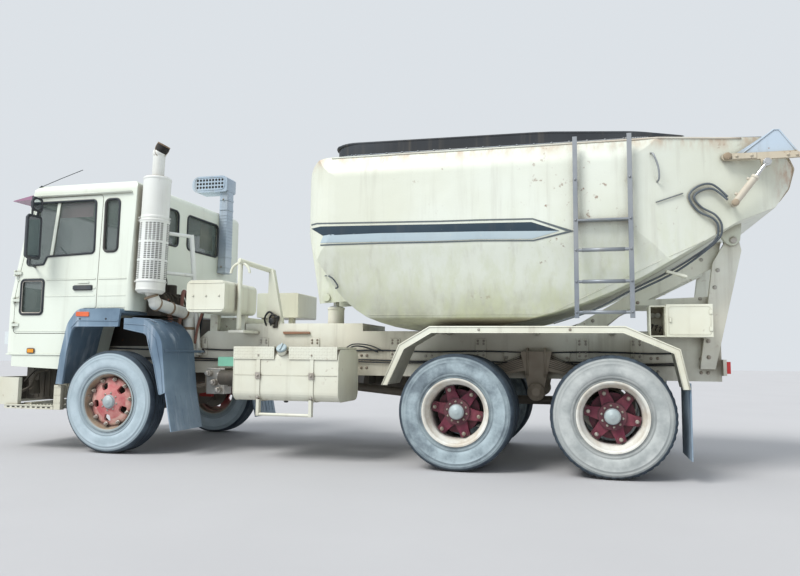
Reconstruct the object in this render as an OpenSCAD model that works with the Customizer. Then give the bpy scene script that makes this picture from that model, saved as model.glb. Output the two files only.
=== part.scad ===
// Three-axle tipping agitator truck: a cab-over chassis that carries an open tub for wet concrete.
// The tub tips about a high hinge at the rear and is raised by a telescopic ram behind the cab.
// X points forward, Y to the left and Z up. The origin is on the ground under the middle of the truck.

/* [Running gear] */
// Radius of every tyre
tyre_r = 530; // [515:1:540]
// Width of one tyre
tyre_w = 290; // [270:1:300]
// Half the width over the tyres
track_half = 1220; // [1200:1:1240]
// Position of the front axle along the truck
front_axle_x = 2575; // [2565:1:2585]
// Distance from the front axle to the first rear axle
wheelbase = 3650; // [3640:1:3660]
// Distance between the two rear axles
bogie_base = 1370; // [1350:1:1390]
// Radius of the wheel rim's outer flange
rim_r = 312; // [300:1:318]

/* [Frame] */
// Height of the top of the chassis rails
rail_top = 1115; // [1110:1:1116]
// Height of the chassis rails' section
rail_h = 290; // [270:1:300]
// Distance from the centre line to the rails' outer faces
rail_out = 425; // [415:1:430]
// Top of the tipping frame that lies on the rails
tip_frame_top = 1292; // [1280:1:1293]

/* [Cab] */
// Back wall of the cab
cab_rear_x = 2385; // [2375:1:2395]
// Half the width of the cab
cab_half = 1170; // [1160:1:1175]
// Height of the roof
roof_z = 2900; // [2880:5:2920]
// Thickness of the cab's walls and doors
cab_wall = 45; // [40:1:50]

/* [Tub] */
// Half the width of the tub
tub_half = 1130; // [1110:5:1140]
// Height of the tub's flat bottom
tub_bottom = 1300; // [1299:1:1310]
// Height of the tub's rim at the front
rim_z = 3000; // [2980:5:3020]
// Thickness of the tub's plates
tub_wall = 12; // [8:1:16]
// Highest tilt of the tub, for which the ram's stages have room
tip_angle = 45; // [40:1:45]

/* [Hidden] */
middle_x = front_axle_x - wheelbase;
rear_x = middle_x - bogie_base;
trunnion_x = (middle_x + rear_x) / 2;
axle_z = tyre_r;
tail_x = -3450;
rail_in = rail_out - 75;
rail_web = rail_out - 10;
bay = track_half - 2 * tyre_w - 40 - rail_out;
kingpin_y = track_half - 350;
cab_pivot = [3950, 900];
door_axis = [3853, cab_half + 20];
tub_hinge = [-3560, 2130];
gate_hinge = [-3464, 2817];
gate_eye = [-3776, 2743];
gate_base = [-3509, 2394];
ram_x = 518;
ram_base_z = 930;
ram_pin_z = 1665;
deck_top = 1375;
cream = [0.88, 0.89, 0.81];
dark_plastic = [0.18, 0.22, 0.28];
steel = [0.35, 0.35, 0.35];
black = [0.06, 0.06, 0.06];
maroon = [0.45, 0.10, 0.14];
$fn = 48;

// Outlines: each row of a table is a corner, [x, y, radius of its arc], anticlockwise
function unit(v) = v / norm(v);
function flat(row) = [row[0], row[1]];
function corner(a, b, c, r, n) =
    let(u = unit(a - b), w = unit(c - b), half = acos(u * w) / 2)
    r < 1 || half > 89 ? [b] :
    let(m = b + unit(u + w) * r / sin(half),
        p = b + u * r / tan(half) - m,
        q = b + w * r / tan(half) - m,
        start = atan2(p.y, p.x),
        sweep = (atan2(q.y, q.x) - start + 540) % 360 - 180)
    [for (i = [0:n]) m + r * [cos(start + sweep * i / n), sin(start + sweep * i / n)]];
function rounded(rows, n = 6) =
    let(last = len(rows))
    [for (i = [0:last - 1])
        each corner(flat(rows[(i + last - 1) % last]), flat(rows[i]), flat(rows[(i + 1) % last]), rows[i][2], n)];
function inset(rows, t) =
    let(last = len(rows))
    [for (i = [0:last - 1])
        let(b = flat(rows[i]),
            d = unit(b - flat(rows[(i + last - 1) % last])),
            e = unit(flat(rows[(i + 1) % last]) - b),
            n1 = [-d.y, d.x],
            n2 = [-e.y, e.x],
            m = (n1 + n2) * t / (1 + n1 * n2),
            turn = sign(d.x * e.y - d.y * e.x))
        [b.x + m.x, b.y + m.y, rows[i][2] < 1 ? 0 : max(1, rows[i][2] - t * turn)]];

// Extrusions: an outline in X and Z across the truck, and one in Y and Z along it
module across(y0, y1) translate([0, y1, 0]) rotate([90, 0, 0]) linear_extrude(y1 - y0) children();
module along(x0, x1) translate([x0, 0, 0]) rotate([90, 0, 90]) linear_extrude(x1 - x0) children();
module outline(rows, n = 6) polygon(rounded(rows, n));
module block(lo, hi) translate(lo) cube(hi - lo);
module both() {
    children();
    mirror([0, 1, 0]) children();
}
// A round bar from one point to another
module bar(a, b, r) {
    v = b - a;
    translate(a) rotate([0, acos(v.z / norm(v)), atan2(v.y, v.x)]) cylinder(h = norm(v), r = r);
}
// A round shaft across the truck at a point in X and Z
module shaft(at, y0, y1, r) translate([at.x, y1, at.y]) rotate([90, 0, 0]) cylinder(h = y1 - y0, r = r);

// Frame
module chassis_frame() color(cream) {
    both() difference() {
        block([tail_x, rail_in, rail_top - rail_h], [3830, rail_out, rail_top]);
        block([tail_x - 1, rail_in - 1, rail_top - rail_h + 10], [3831, rail_web, rail_top - 10]);
    }
    for (x = [3720, 1390, 900, 0, -700, -1800, -2900, tail_x + 110])
        block([x, -rail_web, rail_top - 230], [x + 80, rail_web, rail_top - 60]);
    block([tail_x - 30, -500, 880], [tail_x, 500, 1030]);
}

// Tipping frame: rails, sloping beams and the two posts that carry the tub's hinge
beam_rows = [
    [-3480, 2140, 0], [-2390, 1498, 0], [-2040, tip_frame_top, 0], [-2040, 1200, 0], [-2250, 1200, 0],
    [-2585, 1480, 0], [-3420, 1900, 0]
];
post_rows = [[-3385, 940, 0], [-3255, 940, 0], [-3390, 1930, 40], [-3500, 2120, 0], [-3625, 2120, 0], [-3640, 2040, 0]];
module tipping_frame() color(cream) {
    both() {
        across(rail_in, rail_out) outline([
            [tail_x, rail_top, 0], [2110, rail_top, 0], [2070, 1156, 0], [1890, tip_frame_top, 0],
            [tail_x, tip_frame_top, 0]
        ]);
        across(rail_in, rail_out) outline(beam_rows);
        difference() {
            union() {
                across(rail_out, rail_out + 70) outline(post_rows);
                shaft(tub_hinge, rail_out, rail_out + 70, 64);
            }
            shaft(tub_hinge, rail_out - 1, rail_out + 71, 32.3);
        }
    }
    difference() {
        block([60, -rail_out, tip_frame_top], [1430, rail_out, deck_top]);
        block([310, -180, 1200], [680, 180, 1500]);
    }
    both() block([1260, rail_out, 1262], [1440, 800, 1290]);
    both() difference() {
        block([ram_x - 60, 140, 880], [ram_x + 60, rail_web, 980]);
        shaft([ram_x, ram_base_z], 130, 230, 30.3);
    }
    for (x = [1700, -1400, -3300]) block([x, -rail_in, 1150], [x + 80, rail_in, 1270]);
    block([-3370, -rail_out, 1480], [-3290, rail_out, 1560]);
    both() across(rail_in, rail_out) outline([[-3380, 1540, 0], [-2640, 1540, 0], [-2640, 1590, 0], [-3380, 1620, 0]]);
}

module powertrain() color(steel) {
    block([2150, -330, 700], [3350, 330, 1440]);
    block([1500, -200, 720], [2150, 200, 1150]);
    block([3500, -340, 780], [3600, 340, 1400]);
    block([3350, -60, 900], [3500, 60, 1100]);
    bar([1501, 0, 800], [middle_x + 275, 0, axle_z + 60], 45);
    for (x = [middle_x + 260.3, middle_x - 285.3, rear_x + 260.3])
        bar([x, 0, axle_z + 60], [x + 25, 0, axle_z + 60], 65);
    bar([middle_x - 275, 0, axle_z + 60], [rear_x + 275, 0, axle_z + 60], 45);
    both() block([2700, 330, 900], [2820, rail_web, 1050]);
}

// Bumper with the steps under the cab
module bumper() color(cream) {
    translate([0, 0, 470]) linear_extrude(290) difference() {
        outline([[3710, -1200, 0], [4090, -1200, 130], [4090, 1200, 130], [3710, 1200, 0]]);
        outline([[3600, -1150, 0], [4040, -1150, 90], [4040, 1150, 90], [3600, 1150, 0]]);
    }
    both() {
        block([3600, rail_out, 440], [3700, rail_out + 40, 980]);
        block([3600, rail_out + 40, 440], [3700, 1120, 490]);
        block([3236, 960, 430], [3860, 1220, 470]);
        block([3152, 1155, 430], [3237, 1215, 690]);
        block([3720, rail_out, 640], [4045, rail_out + 25, 930]);
        shaft(cab_pivot, rail_out + 20, 520, 15);
    }
}

module front_axle_beam() {
    along(front_axle_x - 45, front_axle_x + 45) outline([
        [-kingpin_y + 40, 480, 0], [-700, 400, 60], [700, 400, 60], [kingpin_y - 40, 480, 0],
        [kingpin_y - 40, 580, 0], [640, 500, 60], [-640, 500, 60], [-kingpin_y + 40, 580, 0]
    ]);
}
module axles() color(steel) {
    front_axle_beam();
    both() difference() {
        translate([front_axle_x, kingpin_y, 480]) cylinder(h = 100, r = 48);
        translate([front_axle_x, kingpin_y, 470]) cylinder(h = 120, r = 22.3);
    }
    for (x = [middle_x, rear_x]) {
        shaft([x, axle_z], -600, 600, 75);
        shaft([x, axle_z], -1060, 1060, 45);
        translate([x, 0, axle_z]) sphere(r = 215);
        bar([x - 260, 0, axle_z + 60], [x + 260, 0, axle_z + 60], 70);
    }
}

// Leaf packs over the axles: [x of the middle, half length, z of the middle, rise of the ends, inner y, outer y, height]
leaf_packs = [
    [front_axle_x, 700, 500, 190, 350, 430, 90],
    [trunnion_x, 760, 930, -170, rail_out + bay * 9 / 35, rail_out + bay * 5 / 7, 170]
];
module springs() color(steel) {
    for (p = leaf_packs) both() across(p[4], p[5]) outline([
        [p[0] - p[1], p[2] + p[3], 0], [p[0], p[2], 900], [p[0] + p[1], p[2] + p[3], 0],
        [p[0] + p[1], p[2] + p[3] + 30, 0], [p[0], p[2] + p[6], 900], [p[0] - p[1], p[2] + p[3] + 30, 0]
    ]);
    both() {
        for (x = [front_axle_x - 700, front_axle_x + 700]) block([x - 35, rail_in, 650], [x + 35, rail_out, rail_top - rail_h]);
        across(rail_out, rail_out + bay * 27 / 35) outline([
            [trunnion_x - 60, 640, 0], [trunnion_x + 60, 640, 0], [trunnion_x + 150, 1090, 0], [trunnion_x - 150, 1090, 0]
        ]);
        shaft([trunnion_x, 700], rail_out, rail_out + bay, 85);
        for (x = [middle_x, rear_x]) difference() {
            block([x - 80, rail_out + bay / 5, 580], [x + 80, rail_out + bay * 29 / 35, 790]);
            shaft([x, axle_z], rail_out, rail_out + bay, 75.3);
        }
    }
}

module shocks() color([0.75, 0.1, 0.1]) both() {
    bar([2370, 500, 560], [2330, 500, 1000], 38);
    block([2300, rail_out, 940], [2370, 520, 990]);
    block([2340, 470, 500], [2529.7, 530, 560]);
}

// Fuel tank with its straps, tread plate, filler and step; the other side boxes
module fuel_tank() color(cream) {
    along(50, 1150) outline([[600, 585, 90], [1195, 585, 90], [1195, 1085, 90], [600, 1085, 90]]);
    for (x = [300, 860]) along(x, x + 40) difference() {
        outline([[592, 577, 98], [1203, 577, 98], [1203, 1093, 98], [592, 1093, 98]]);
        outline([[600, 585, 90], [1195, 585, 90], [1195, 1085, 90], [600, 1085, 90]]);
    }
    for (x = [300, 860]) block([x - 20, rail_out, 850], [x + 60, 600, 930]);
    for (x = [61, 712]) along(x, x + 438 + (x < 100 ? 58 : 0)) outline([
        [620, 1093, 0], [1195, 1093, 0], [1195, 990, 0], [1206, 990, 0], [1206, 1112, 0], [620, 1112, 0]
    ]);
    translate([634, 1105, 995]) rotate([-45, 0, 0]) cylinder(h = 125, r = 42);
    translate([634, 1105, 995]) rotate([-45, 0, 0]) translate([0, 0, 98]) cylinder(h = 36, r = 52);
    for (x = [330, 880]) block([x - 15, 1150, 440], [x + 15, 1200, 600]);
    bar([330, 1185, 455], [880, 1185, 455], 15);
}

module side_boxes() color(steel) {
    block([1290, rail_out, 690], [1480, 700, 860]);
    block([500, -1150, 600], [1100, -620, 1000]);
    block([600, -620, 850], [700, -rail_out, 950]);
    block([900, -620, 850], [1000, -rail_out, 950]);
    for (z = [700, 940]) {
        translate([-300, -800, z]) rotate([0, 90, 0]) cylinder(h = 700, r = 110);
    }
    for (x = [-200, 250]) block([x, -800, 700], [x + 50, -rail_out, 960]);
}

guard_rows = [
    [-395, 765, 0], [-560, 1135, 0], [-846, 1302, 0], [-2558, 1302, 0], [-2994, 1108, 0], [-3063, 777, 0],
    [-3053, 777, 0], [-2986, 1102, 0], [-2556, 1292, 0], [-848, 1292, 0], [-568, 1128, 0], [-405, 765, 0]
];
guard_lip_rows = [
    [-395, 765, 0], [-560, 1135, 0], [-846, 1302, 0], [-2558, 1302, 0], [-2994, 1108, 0], [-3063, 777, 0],
    [-3013, 777, 0], [-2950, 1078, 0], [-2544, 1252, 0], [-860, 1252, 0], [-600, 1100, 0], [-445, 765, 0]
];
module rear_mudguards() color(cream) both() {
    across(620, 1240) outline(guard_rows);
    across(1232, 1240) outline(guard_lip_rows);
    for (x = [-900, -1780, -2500]) block([x, rail_out, 1255], [x + 40, 1200, 1292]);
}

// Tails of the front fenders, with their flaps, and the flaps behind the rear wheels
tail_rows = [
    [2403, 1398, 0], [2130, 1385, 200], [1950, 1200, 300], [1885, 650, 0],
    [1900, 640, 0], [1968, 1190, 300], [2140, 1362, 180], [2403, 1375, 0]
];
tail_lip_rows = [
    [2403, 1398, 0], [2130, 1385, 200], [1950, 1200, 300], [1885, 640, 0],
    [1950, 615, 0], [2022, 906, 200], [2120, 1230, 120], [2403, 1285, 0]
];
module mud_flaps() color(dark_plastic) both() {
    across(640, 1235) outline(tail_rows);
    across(1210, 1235) outline(tail_lip_rows);
    across(640, 1225) outline([[1800, 250, 0], [1814, 250, 0], [1900, 660, 0], [1886, 660, 0]]);
    bar([1935, rail_out, 1060], [1935, 1200, 1060], 14);
    across(640, 1220) outline([[-3075, 190, 0], [-3063.3, 190, 0], [-3063.3, 830, 0], [-3075, 830, 0]]);
}

// Exhaust stack with its heat shield, elbow and stay
stack_foot = [2205, 1093, 1665];
stack_head = [2200, 1050, 2980];
function stack_at(z) = stack_foot + (stack_head - stack_foot) * (z - stack_foot.z) / (stack_head.z - stack_foot.z);
stack_rows = [
    [0, -5], [120, -5], [148, 25], [148, 110], [152, 112], [152, 775], [143, 775], [143, 1240], [64, 1240], [64, 1520],
    [0, 1520]
];
module exhaust() color([0.8, 0.8, 0.78]) {
    lean = stack_head - stack_foot;
    translate(stack_foot) rotate([0, acos(lean.z / norm(lean)), atan2(lean.y, lean.x)])
        rotate_extrude() polygon(stack_rows);
    translate(stack_at(3183)) sphere(r = 72);
    bar(stack_at(3183), [2145, 1044, 3278], 67);
    bar(stack_foot + [0, 0, 30], [2170, 1040, 1560], 62);
    translate([2170, 1040, 1560]) sphere(r = 70);
    bar([2170, 1040, 1560], [2065, 555, 1470], 64);
    translate([2065, 555, 1470]) sphere(r = 70);
    bar([2065, 555, 1470], [2065, 540, 1140], 60);
    block([2000, rail_out, 1000], [2130, 610, 1150]);
    bar([1980, 470, 1060], [1990, 690, 2350], 26);
    bar([1990, 690, 2330], stack_at(2330), 20);
    bar([1986, 613, 1900], stack_at(1900), 20);
    block([1955, rail_out, 1020], [2010, 500, 1100]);
}

module tanks() color(cream) {
    across(270, 1000) outline([[1385, 1470, 60], [1830, 1470, 60], [1830, 1805, 60], [1385, 1805, 60]]);
    block([1780, 350, tip_frame_top], [1870, 425, 1472]);
    block([1440, 350, tip_frame_top], [1490, 425, 1472]);
    across(-900, -300) outline([[1119, 1480, 20], [1660, 1480, 20], [1660, 1780, 20], [1119, 1780, 20]]);
    block([1200, -425, deck_top], [1260, -350, 1482]);
    block([1560, -425, tip_frame_top], [1620, -350, 1482]);
    block([1500, -200, 1270], [1850, 250, 1450]);
}

module service_stand() color(cream) {
    bar([1345, 750, 1290], [1345, 750, 2040], 26);
    across(365, 425) outline([[990, deck_top, 0], [1170, deck_top, 0], [1165, 1975, 0], [1115, 1975, 0]]);
    bar([1345, 780, 2035], [1140, 370, 1960], 28);
    for (s = [0, 180]) translate([1345, 750, 1900]) rotate([90, 0, s]) rotate_extrude(angle = 180)
        translate([110, 0]) circle(r = 14, $fn = 16);
}

module valve_box() color(cream) {
    block([-3320, 495, 1228], [-2930, 850, 1520]);
    difference() {
        block([-2930, 560, 1228], [-2790, 840, 1510]);
        block([-2920, 580, 1240], [-2800, 850, 1500]);
    }
}

module tail_lamps() color([0.9, 0.25, 0.1]) both() {
    block([tail_x - 65, 300, 900], [tail_x - 30, 490, 1010]);
}

// Cab: the side, plan and front outlines meet in one shell, and t is the depth below its outer face
cab_side_rows = [
    [cab_rear_x, 1480, 0], [2970, 1480, 115], [3092, 1333, 205], [3170, 1000, 0], [3980, 1000, 30], [4010, 1620, 200],
    [3785, 2780, 80], [3640, roof_z + 5, 200], [cab_rear_x, roof_z - 8, 90]
];
cab_plan_rows = [[cab_rear_x, -cab_half, 60], [4010, -cab_half, 170], [4010, cab_half, 170], [cab_rear_x, cab_half, 60]];
cab_front_rows = [
    [-cab_half, 900, 0], [cab_half, 900, 0], [cab_half, 1750, 0], [cab_half - 40, roof_z, 100],
    [-cab_half + 40, roof_z, 100], [-cab_half, 1750, 0]
];
screen_lean = 11;
module cab_mass(t) {
    intersection() {
        across(-1300, 1300) outline(inset(cab_side_rows, t));
        translate([0, 0, 500]) linear_extrude(3000) outline(inset(cab_plan_rows, t));
        along(2000, 4300) outline(inset(cab_front_rows, t));
        translate([4010, 0, 1620]) rotate([0, -screen_lean, 0]) translate([-4010, 0, -1500])
            linear_extrude(3200) outline(inset([
                [cab_rear_x - 900, -cab_half, 0], [4010, -cab_half, 170], [4010, cab_half, 170],
                [cab_rear_x - 900, cab_half, 0]
            ], t));
    }
}
module cab_tunnel(t) block([2200, -470 - t, 900], [3840 + t, 470 + t, 1450 + t]);
module cab_skin(outer, inner) difference() {
    cab_mass(outer);
    cab_mass(inner);
}

// Openings in the cab, as outlines in X and Z for the sides and in Y and Z for the ends
door_rows = [
    [2806, 1510, 20], [3003, 1510, 135], [3127, 1350, 225], [3153, 1240, 0], [3850, 1240, 40], [3850, 1660, 150],
    [3655, 2740, 40], [2806, 2740, 40]
];
door_window_rows = [
    [2870, 2105, 40], [3470, 2080, 20], [3510, 1995, 20], [3735, 1985, 40], [3628, 2690, 40], [2890, 2690, 40]
];
low_window_rows = [[3486, 1448, 40], [3777, 1448, 40], [3777, 1826, 40], [3486, 1826, 40]];
side_window_rows = [[2584, 2115, 50], [2752, 2115, 50], [2768, 2690, 50], [2592, 2690, 50]];
screen_rows = [[-1020, 1720, 80], [1020, 1720, 80], [990, 2700, 80], [-990, 2700, 80]];
back_left_rows = [[338, 2280, 60], [1030, 2280, 60], [1030, 2695, 60], [338, 2695, 60]];
back_right_rows = [[-572, 2280, 60], [146, 2280, 60], [146, 2700, 60], [-572, 2700, 60]];
module cab_openings() {
    both() across(1000, 1300) outline(side_window_rows);
    along(3600, 4200) outline(screen_rows);
    along(2200, 2500) {
        outline(back_left_rows);
        outline(back_right_rows);
    }
}
module cab_shell() color(cream) {
    difference() {
        cab_mass(0);
        difference() {
            cab_mass(cab_wall);
            cab_tunnel(cab_wall);
        }
        cab_tunnel(0);
        cab_openings();
        both() intersection() {
            across(1000, 1300) outline(inset(door_rows, -6));
            side_layer(cab_wall + 6);
        }
    }
    both() {
        cab_hinges();
        across(1080, 1165) outline([[3200, 855, 0], [3860, 880, 0], [3860, 1001, 0], [3200, 1001, 0]]);
        block([cab_rear_x + 60, cab_half - 47, 2752], [3700, cab_half - 12, 2764]);
        difference() {
            union() {
                shaft(cab_pivot, 456, 512, 32);
                block([3918, 456, 900], [3975, 512, 1010]);
            }
            shaft(cab_pivot, 450, 520, 15.3);
        }
    }
}
// Door hinges: the cab's ears with their pins, and the door's knuckles between them
hinge_heights = [1330, 1600, 1900];
module hinge_at() for (z = hinge_heights) translate([door_axis.x, door_axis.y, z]) children();
module cab_hinges() hinge_at() {
    for (z = [-32, 18]) translate([0, 0, z]) linear_extrude(14) polygon([
        [4, -30], [26, -30], [14, 11], [-8, 11], [-11, -4], [-4, -12], [4, -12]
    ]);
    translate([0, 0, -30]) cylinder(h = 60, r = 6);
}
module door_knuckles() hinge_at() difference() {
    translate([0, 0, -15]) linear_extrude(30) union() {
        circle(r = 12);
        polygon([[-75, -32], [-46, -32], [-40, -18], [-5, -14], [-5, 12], [-70, -10]]);
    }
    translate([0, 0, -20]) cylinder(h = 40, r = 6.3);
}
module side_layer(t) difference() {
    block([2200, 0, 800], [4200, 1300, 3000]);
    along(2100, 4300) outline(inset(cab_front_rows, t));
}
module cab_glass() color([0.6, 0.75, 0.75, 0.4]) intersection() {
    cab_skin(18, 24);
    cab_openings();
}

module cab_interior() color([0.25, 0.24, 0.22]) {
    both() {
        block([2440, 520, 1525], [2540, 1000, 2300]);
        block([2540, 520, 1525], [3000, 1000, 1720]);
    }
    intersection() {
        across(-1115, 1115) outline([[3640, 1500, 30], [4010, 1500, 0], [4010, 1700, 0], [3870, 1760, 30], [3600, 1700, 60]]);
        cab_mass(cab_wall + 0.3);
    }
    translate([3520, 620, 1830]) rotate([0, -55, 0]) {
        rotate_extrude() translate([210, 0]) circle(r = 16, $fn = 16);
        for (a = [30, 150, 270]) rotate([0, 0, a]) translate([0, -12, -6]) cube([210, 24, 12]);
        translate([0, 0, -200]) cylinder(h = 210, r = 30);
    }
}

// Front halves of the front fenders, fixed to the cab
fender_rows = [
    [2450, 1479.7, 0], [2450, 1455, 0], [2959, 1455, 91], [3069, 1325, 181], [3145, 1000, 0], [3198, 700, 0],
    [3222, 700, 0], [3169.7, 1000, 0], [3091.7, 1332.7, 205], [2969.7, 1479.7, 115]
];
fender_flange_rows = [
    [2450, 1500, 20], [2450, 1455, 0], [2959, 1455, 91], [3069, 1325, 181], [3145, 1000, 0], [3198, 700, 0],
    [3226, 700, 0], [3190, 1000, 0], [3112, 1345, 220], [2990, 1500, 130]
];
fender_lip_rows = [
    [2450, 1500, 20], [2470, 1310, 0], [3020, 1310, 60], [3085, 1050, 60], [3122, 700, 0], [3196, 700, 0],
    [3168, 1000, 0], [3095, 1345, 220], [2975, 1500, 130]
];
module cab_fenders() color(dark_plastic) both() {
    across(700, 1175) outline(fender_rows);
    across(1171, 1212) outline(fender_flange_rows);
    across(1212, 1240) outline(fender_lip_rows);
}

module visor() color([0.75, 0.6, 0.68, 0.8]) difference() {
    across(-1000, 1000) outline([[3700, 2780, 0], [4125, 2760, 0], [4125, 2768, 0], [3700, 2850, 0]]);
    cab_mass(-0.3);
}

// A two-part mirror on a tube, carried by the door
module mirror_set() color(black) {
    difference() {
        union() {
            bar([3640, 1100, 2716], [3530, 1345, 2700], 10);
            bar([3640, 1120, 1962], [3530, 1345, 1975], 10);
        }
        cab_mass(-0.3);
    }
    translate([3530, 1345, 1960]) cylinder(h = 755, r = 12);
    for (z = [2150, 2380, 2640]) block([3510, 1335, z - 8], [3532, 1355, z + 8]);
    along(3480, 3514) outline([[1270, 2040, 25], [1450, 2040, 25], [1450, 2490, 25], [1270, 2490, 25]]);
    along(3484, 3514) outline([[1270, 2560, 50], [1392, 2560, 50], [1392, 2690, 50], [1270, 2690, 50]]);
}
module mirror_left() mirror_set();
module mirror_right() mirror([0, 1, 0]) mirror_set();

module cab_lamps() color([1, 0.6, 0.1]) difference() {
    union() {
        both() {
            block([3560, cab_half - 10, 1030], [3640, cab_half + 14, 1070]);
            block([3960, 850, 1120], [4030, 1100, 1260]);
        }
        translate([3600, 0, 2850]) cylinder(h = 110, r = 60);
    }
    cab_mass(-0.3);
}

module air_intake() color([0.5, 0.56, 0.62]) {
    block([cab_rear_x - 110, -749, 2110], [cab_rear_x - 0.3, -593, 3160]);
    block([cab_rear_x - 122, -761, 2080], [cab_rear_x - 0.3, -581, 2112]);
    across(-800, -560) outline([
        [cab_rear_x - 112, 3150, 30], [2780, 3150, 90], [2780, 3365, 95], [cab_rear_x - 60, 3365, 60],
        [cab_rear_x - 112, 3330, 20]
    ]);
}

// Doors: cut from the cab's own walls
module door() color(cream) {
    difference() {
        intersection() {
            cab_mass(0);
            side_layer(cab_wall);
            across(1000, 1300) outline(door_rows);
        }
        across(1000, 1300) outline(door_window_rows);
        across(1000, 1300) outline(low_window_rows);
    }
    window_bar();
    door_knuckles();
    block([2870, 1165, 1712], [3090, 1190, 1745]);
}
module window_bar() intersection() {
    cab_skin(10, 35);
    across(1000, 1300) outline([[3412, 2060, 0], [3450, 2060, 0], [3395, 2700, 0], [3357, 2700, 0]]);
}
module door_left() door();
module door_right() mirror([0, 1, 0]) door();
module door_glass() color([0.6, 0.75, 0.75, 0.4]) difference() {
    intersection() {
        cab_skin(18, 24);
        across(1000, 1300) {
            outline(door_window_rows);
            outline(low_window_rows);
        }
    }
    window_bar();
}
module door_glass_left() door_glass();
module door_glass_right() mirror([0, 1, 0]) door_glass();

// Steering knuckles
module knuckle() color(steel) {
    translate([front_axle_x, kingpin_y, 420]) cylinder(h = 220, r = 22);
    for (z = [420, 590]) translate([front_axle_x, kingpin_y, z]) cylinder(h = 50, r = 50);
    difference() {
        block([front_axle_x - 45, kingpin_y + 10, 420], [front_axle_x + 45, kingpin_y + 75, 640]);
        translate([front_axle_x, kingpin_y, 470]) cylinder(h = 120, r = 54);
    }
    shaft([front_axle_x, axle_z], kingpin_y + 52, track_half - 90, 40);
    shaft([front_axle_x, axle_z], kingpin_y + 55, kingpin_y + 75, 190);
}
module knuckle_left() knuckle();
module knuckle_right() mirror([0, 1, 0]) knuckle();

// Wheels, each with its axis along Y; the outer face of the tyre is at y
module tyre(x, y) color(black) translate([x, y - tyre_w, axle_z]) rotate([-90, 0, 0]) rotate_extrude($fn = 60)
    polygon([
        [rim_r - 8, 22], [rim_r + 30, 4], [tyre_r - 110, 0], [tyre_r - 30, 18], [tyre_r, 48],
        [tyre_r, tyre_w - 48], [tyre_r - 30, tyre_w - 18], [tyre_r - 110, tyre_w], [rim_r + 30, tyre_w - 4],
        [rim_r - 8, tyre_w - 22], [rim_r - 26, tyre_w - 40], [rim_r - 26, 40]
    ]);
// A deep rim: rows are [radius, depth from the tyre's outer face]; its dish opens to the outer face
rim_rows = [
    [rim_r - 4, 10], [rim_r - 4, 19.6], [rim_r - 8.4, 20], [rim_r - 8.4, 21.6], [rim_r - 26.4, 39.6],
    [rim_r - 26.4, tyre_w - 39.6], [rim_r - 8.4, tyre_w - 21.6], [rim_r - 8.4, tyre_w - 12],
    [rim_r - 34, tyre_w - 12], [rim_r - 44, tyre_w - 60], [rim_r - 66, tyre_w - 80], [rim_r - 66, 150],
    [rim_r - 60, 105], [rim_r - 38, 56], [rim_r - 30, 22], [rim_r - 18, 10]
];
module rim(x, y, dished = true) translate([x, y - (dished ? 0 : tyre_w), axle_z])
    rotate([dished ? 90 : -90, 0, 0]) rotate_extrude($fn = 60) polygon(rim_rows);

// Front hub: a domed disc with five windows and slots round its edge; rows are [radius, depth from the tyre's face]
front_disc_rows = [
    [0, 22], [66, 22], [72, 36], [112, 42], [222, 76], [240, 82], [rim_r - 50, 98], [rim_r - 50, 124],
    [225, 112], [112, 72], [90, 180], [0, 180]
];
module wheel_front() color(maroon) {
    rim(front_axle_x, track_half);
    difference() {
        translate([front_axle_x, track_half, axle_z]) rotate([90, 0, 0]) rotate_extrude($fn = 60)
            polygon(front_disc_rows);
        for (i = [0:4]) translate([front_axle_x, 0, axle_z]) rotate([0, i * 72 + 8, 0])
            across(track_half - 200, track_half) outline([[135, -30, 20], [205, -44, 20], [205, 44, 20], [135, 30, 20]]);
        shaft([front_axle_x, axle_z], 900, 1131, 40.3);
    }
    for (i = [0:9]) translate([front_axle_x, 0, axle_z]) rotate([0, i * 36 + 8, 0])
        shaft([232, 0], track_half - 100, track_half - 62, 21);
}

// Rear hub: six arms from the core to the outer rim, a clamp and nut on each, and the brake drum behind
module rear_hub(x) {
    face = track_half - 150;
    shaft([x, axle_z], 640, face + 25, 118);
    shaft([x, axle_z], face + 20, face + 62, 70);
    shaft([x, axle_z], 640, face - 75, 200);
    for (i = [0:5]) translate([x, 0, axle_z]) rotate([0, i * 60 - 11, 0]) {
        across(face - 62, face - 3) outline([[80, -62, 0], [190, -44, 0], [rim_r - 64, -44, 0], [rim_r - 64, 44, 0], [190, 44, 0], [80, 62, 0]]);
        across(face - 5, face + 14) outline([[186, -32, 10], [rim_r - 72, -32, 10], [rim_r - 72, 32, 10], [186, 32, 10]]);
        shaft([208, 0], face + 10, face + 38, 17);
    }
}
module twin(x) color(maroon) {
    rim(x, track_half);
    rim(x, track_half - tyre_w - 40, false);
    translate([x, track_half - tyre_w + 75, axle_z]) rotate([90, 0, 0]) difference() {
        cylinder(h = 190, r = rim_r - 55);
        translate([0, 0, -1]) cylinder(h = 192, r = rim_r - 66);
    }
    for (i = [0:5]) translate([x, 0, axle_z]) rotate([0, i * 60 - 11, 0])
        block([190, track_half - 300, -30], [rim_r - 60, track_half - 240, 30]);
    difference() {
        rear_hub(x);
        shaft([x, axle_z], 600, 1061, 45.3);
    }
}
module tyres(x) {
    tyre(x, track_half);
    tyre(x, track_half - tyre_w - 40);
}
module tyre_front_left() tyre(front_axle_x, track_half);
module tyre_front_right() mirror([0, 1, 0]) tyre(front_axle_x, track_half);
module wheel_front_left() wheel_front();
module wheel_front_right() mirror([0, 1, 0]) wheel_front();
module tyres_middle_left() tyres(middle_x);
module tyres_middle_right() mirror([0, 1, 0]) tyres(middle_x);
module wheel_middle_left() twin(middle_x);
module wheel_middle_right() mirror([0, 1, 0]) twin(middle_x);
module tyres_rear_left() tyres(rear_x);
module tyres_rear_right() mirror([0, 1, 0]) tyres(rear_x);
module wheel_rear_left() twin(rear_x);
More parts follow.
